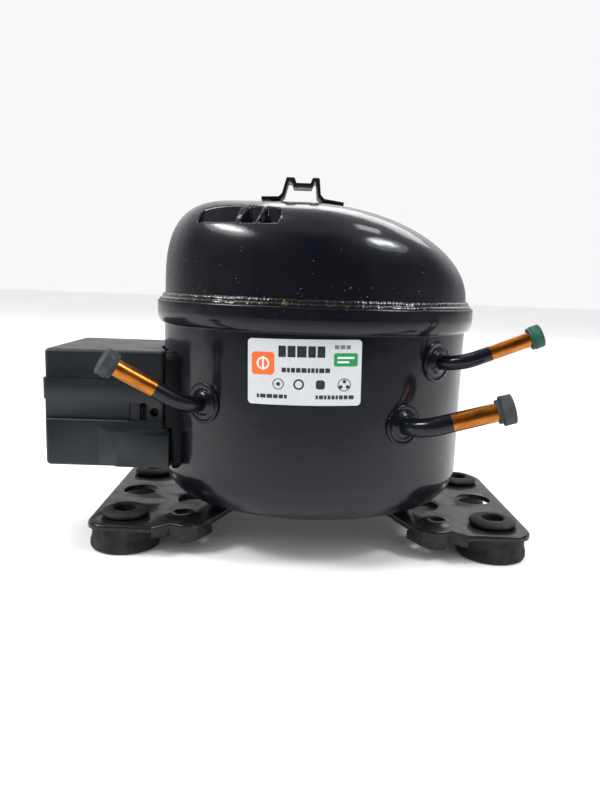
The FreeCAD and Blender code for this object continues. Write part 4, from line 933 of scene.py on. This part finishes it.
def bar(u0, v0, u1, v1, lift=PRINT_LIFT, corner=0.0):
    """A curved patch over a rectangle of the label, as (vertices, faces)."""
    x0, x1, z0, z1 = LABEL
    columns = max(2, int((u1 - u0) * (x1 - x0) / PRINT_STEP) + 1)
    verts, faces = [], []
    for i in range(columns + 1):
        u = u0 + (u1 - u0) * i / columns
        x = x0 + (x1 - x0) * u
        inset = corner_inset(min(u - u0, u1 - u) * (x1 - x0), corner) if corner else 0.0
        low, high = z1 - (z1 - z0) * v1 + inset, z1 - (z1 - z0) * v0 - inset
        verts += [on_shell(x, low, lift), on_shell(x, high, lift)]
        if i:
            k = 2 * i
            faces.append((k - 2, k, k + 1, k - 1))
    return verts, faces


def disc(u, v, radius, hole=0.0, lift=RING_LIFT, count=28):
    """A round spot or ring on the label; radius and hole in millimetres."""
    x0, x1, z0, z1 = LABEL
    cx, cz = x0 + (x1 - x0) * u, z1 - (z1 - z0) * v
    verts, faces = [], []
    for j in range(count):
        t = 2 * math.pi * j / count
        for r in (hole, radius):
            verts.append(on_shell(cx + r * math.cos(t), cz + r * math.sin(t), lift))
    for j in range(count):
        k = (j + 1) % count
        faces.append((2 * j, 2 * j + 1, 2 * k + 1, 2 * k))
    return verts, faces


def joined(name, parts, material):
    """One piece of print from several patches."""
    verts, faces = [], []
    for v, f in parts:
        faces += [tuple(i + len(verts) for i in face) for face in f]
        verts += v
    obj = piece(name, verts, faces, material, "shell", smooth=False)
    for polygon in obj.data.polygons:
        polygon.use_smooth = True


def words(rng, u0, u1, v0, v1, low, high, gap):
    """A row of short plain bars, in place of a line of print."""
    row, u = [], u0
    while u < u1 - low:
        width = min(rng.uniform(low, high), u1 - u)
        row.append(bar(u, v0, u + width, v1))
        u += width + gap
    return row


def make_label():
    """A curved film with rounded corners, and generic print: bars, blocks, rings."""
    x0, x1, z0, z1 = LABEL
    verts, faces = [], []
    for i in range(LABEL_COLUMNS + 1):
        x = x0 + (x1 - x0) * (0.5 - 0.5 * math.cos(math.pi * i / LABEL_COLUMNS))
        inset = corner_inset(min(x - x0, x1 - x), LABEL_CORNER)
        for lift in LABEL_FACES:
            verts += [on_shell(x, z0 + inset, lift), on_shell(x, z1 - inset, lift)]
        if i:
            a, b = 4 * (i - 1), 4 * i
            faces += [(a + 2, b + 2, b + 3, a + 3), (a, a + 1, b + 1, b),
                      (a, b, b + 2, a + 2), (a + 1, a + 3, b + 3, b + 1)]
    end = 4 * LABEL_COLUMNS
    faces += [(0, 2, 3, 1), (end, end + 1, end + 3, end + 2)]
    label = piece("label_film_sheet", verts, faces, LOOKS["label_film"], "shell")
    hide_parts("rating_label")
    rng = random.Random(11)
    black = [patch for row in BLACK_ROWS for patch in words(rng, *row)]
    black += [disc(*ring) for ring in BLACK_RINGS] + [bar(0.60, 0.61, 0.68, 0.75, corner=0.8)]
    joined("label_print_black", black, INK_BLACK)
    joined("label_print_grey", words(rng, *GREY_ROW), INK_GREY)
    joined("label_block_green", [bar(0.755, 0.2, 0.965, 0.40, corner=0.4)], INK_GREEN)
    joined("label_block_orange", [bar(0.035, 0.20, 0.235, 0.545, corner=1.1)], INK_ORANGE)
    white = [bar(0.785, 0.255, 0.935, 0.285, 0.30), bar(0.785, 0.32, 0.89, 0.35, 0.30),
             disc(0.135, 0.3725, 2.6, 1.9, 0.31), bar(0.127, 0.27, 0.143, 0.475, 0.31)]
    joined("label_print_white", white, INK_WHITE)


make_label()


# ---- floor, backdrop and light ----
FLOOR_SIDE, FLOOR_FRONT, FLOOR_BACK, FLOOR_DROP = 3.0, -0.72, 5.0, 0.0003
# The near tone is painted shade on the floor in front of the compressor, which also dims what the
# shell reflects there. The far tone is painted light, so the floor meets the backdrop.
FLOOR_NEAR_SHADE, FLOOR_TONE, FLOOR_FAR_LIGHT = (0.38,) * 3, (0.84,) * 3, (0.99,) * 3
NEAR_SHADE_FADE, FAR_LIGHT_FADE = (-0.34, -0.13), (0.2, 1.1)        # where one tone passes into the next, in y
SEEN, DIFFUSE = 0.95, 0.88                              # the room to the camera and to matt faces
OVERHEAD, BEHIND, SIDES, BASE = 0.4, 1.05, 0.15, 0.1    # and in reflections, by direction


def make_stage():
    """A pale table top that ends behind the camera, coloured darker toward the front as painted
    shade and lighter far back as painted light.
    """
    mesh = bpy.data.meshes.new("floor")
    mesh.from_pydata([(-FLOOR_SIDE, FLOOR_FRONT, 0), (FLOOR_SIDE, FLOOR_FRONT, 0),
                      (FLOOR_SIDE, FLOOR_BACK, 0), (-FLOOR_SIDE, FLOOR_BACK, 0)],
                     [], [(0, 1, 2, 3)])
    floor = add("floor", mesh)
    floor.location.z = -FLOOR_DROP
    look = Look("floor_pale", FLOOR_TONE, rough=0.6, spec=0.2)
    way = look.new("SeparateXYZ")
    look.link(look.point(), way.inputs[0])
    # Painted shade near the front and painted light far back, blended into the floor's tone by y.
    near = look.mix(look.ramp(way.outputs["Y"], *NEAR_SHADE_FADE), FLOOR_NEAR_SHADE, FLOOR_TONE)
    look.colour(look.mix(look.ramp(way.outputs["Y"], *FAR_LIGHT_FADE), near, FLOOR_FAR_LIGHT))
    mesh.materials.append(look.mat)


def make_world():
    """A pale background; what glossy surfaces see is a dim room, lighter behind and overhead."""
    world = bpy.data.worlds.new("studio")
    world.use_nodes = True
    bpy.context.scene.world = world
    tree = world.node_tree
    background = tree.nodes["Background"]

    def node(kind, **values):
        made = tree.nodes.new("ShaderNode" + kind)
        for key, value in values.items():
            setattr(made, key, value)
        return made

    def ramp(source, low, high, a, b):
        made = node("MapRange", interpolation_type="SMOOTHSTEP")
        for socket, value in zip(("From Min", "From Max", "To Min", "To Max"), (low, high, a, b)):
            made.inputs[socket].default_value = value
        tree.links.new(source, made.inputs["Value"])
        return made.outputs["Result"]

    def maths(operation, a, b):
        made = node("Math", operation=operation)
        for socket, value in zip(made.inputs, (a, b)):
            if isinstance(value, float):
                socket.default_value = value
            else:
                tree.links.new(value, socket)
        return made.outputs[0]

    def choose(mask, no, yes):
        """`yes` where the mask is 1 and `no` where it's 0."""
        return maths("ADD", maths("MULTIPLY", mask, yes),
                     maths("MULTIPLY", maths("SUBTRACT", 1.0, mask), no))

    way = node("SeparateXYZ")
    tree.links.new(node("TexCoord").outputs["Generated"], way.inputs[0])
    ray = node("LightPath")
    overhead = ramp(way.outputs["Z"], 0.82, 0.97, 0.0, OVERHEAD)
    behind = maths("MULTIPLY", ramp(way.outputs["Y"], 0.1, 0.75, 0.0, 1.0),
                   maths("MULTIPLY", ramp(way.outputs["Z"], 0.05, 0.4, 0.4, 1.0),
                         ramp(way.outputs["Z"], 0.55, 0.85, 1.0, 0.2)))
    sides = maths("MULTIPLY",
                  ramp(maths("ABSOLUTE", way.outputs["X"], 0.0), 0.5, 0.95, 0.0, SIDES),
                  ramp(way.outputs["Z"], 0.0, 0.5, 1.0, 0.2))
    glossy = maths("ADD", maths("ADD", overhead, maths("MULTIPLY", behind, BEHIND)),
                   maths("ADD", sides, BASE))
    light = choose(ray.outputs["Is Glossy Ray"], DIFFUSE, glossy)
    light = choose(ray.outputs["Is Camera Ray"], light, SEEN)
    tree.links.new(light, background.inputs["Strength"])
    background.inputs["Color"].default_value = (0.985, 0.99, 1.0, 1.0)


WHITE, WARM, COOL = (1.0, 1.0, 1.0), (1.0, 0.98, 0.94), (0.95, 0.975, 1.0)
LAMP_AIM = (0.0, 0.0, 0.11)
# Name, azimuth (0 is -Y, 90 is +X), elevation, distance, size, radiance, turn, colour and shape
LAMPS = (
    ("lamp_left_wide", -77, 45, 1.2, (0.84, 0.42), 3.0, 8, WHITE, "ELLIPSE"),
    ("lamp_left_soft", -76, 46, 1.18, (0.6, 0.28), 6.0, 10, WHITE, "ELLIPSE"),
    ("lamp_left", -76, 46, 1.15, (0.42, 0.15), 20.0, 12, WHITE, "ELLIPSE"),
    ("lamp_left_far", -116, 69, 1.15, (0.14, 0.34), 8.0, 30, WARM, "RECTANGLE"),
    ("lamp_right_wide", 70, 47, 1.2, (0.7, 0.42), 2.4, 0, COOL, "ELLIPSE"),
    ("lamp_right_soft", 68, 50, 1.18, (0.44, 0.28), 7.5, -20, COOL, "ELLIPSE"),
    ("lamp_right", 68, 50, 1.15, (0.28, 0.14), 19.0, -20, COOL, "RECTANGLE"),
    ("lamp_right_far", 104, 65, 1.15, (0.24, 0.2), 7.0, 0, COOL, "RECTANGLE"),
    ("lamp_back", 158, 42, 1.3, (1.1, 0.4), 3.2, 0, WHITE, "RECTANGLE"),
)


def softbox(name, azimuth, elevation, distance, size, radiance, turn, colour, shape):
    """A soft lamp seen from the compressor in the direction given, facing it."""
    a, e = math.radians(azimuth), math.radians(elevation)
    centre = Vector(LAMP_AIM)
    out = Vector((math.sin(a) * math.cos(e), -math.cos(a) * math.cos(e), math.sin(e)))
    data = bpy.data.lights.new(name, "AREA")
    data.shape, data.size, data.size_y = shape, size[0], size[1]
    round_share = math.pi / 4 if shape == "ELLIPSE" else 1.0
    data.energy, data.color = radiance * 4 * size[0] * size[1] * round_share, colour
    lamp = add(name, data)
    lamp.location = centre + out * distance
    lamp.rotation_mode = "QUATERNION"
    lamp.rotation_quaternion = (out.to_track_quat("Z", "Y")
                                @ Quaternion((0, 0, 1), math.radians(turn)))
    lamp.visible_camera = False


make_stage()
make_world()
for lamp_values in LAMPS:
    softbox(*lamp_values)

view_settings = bpy.context.scene.view_settings
view_settings.view_transform = "Standard"
view_settings.look = "None"
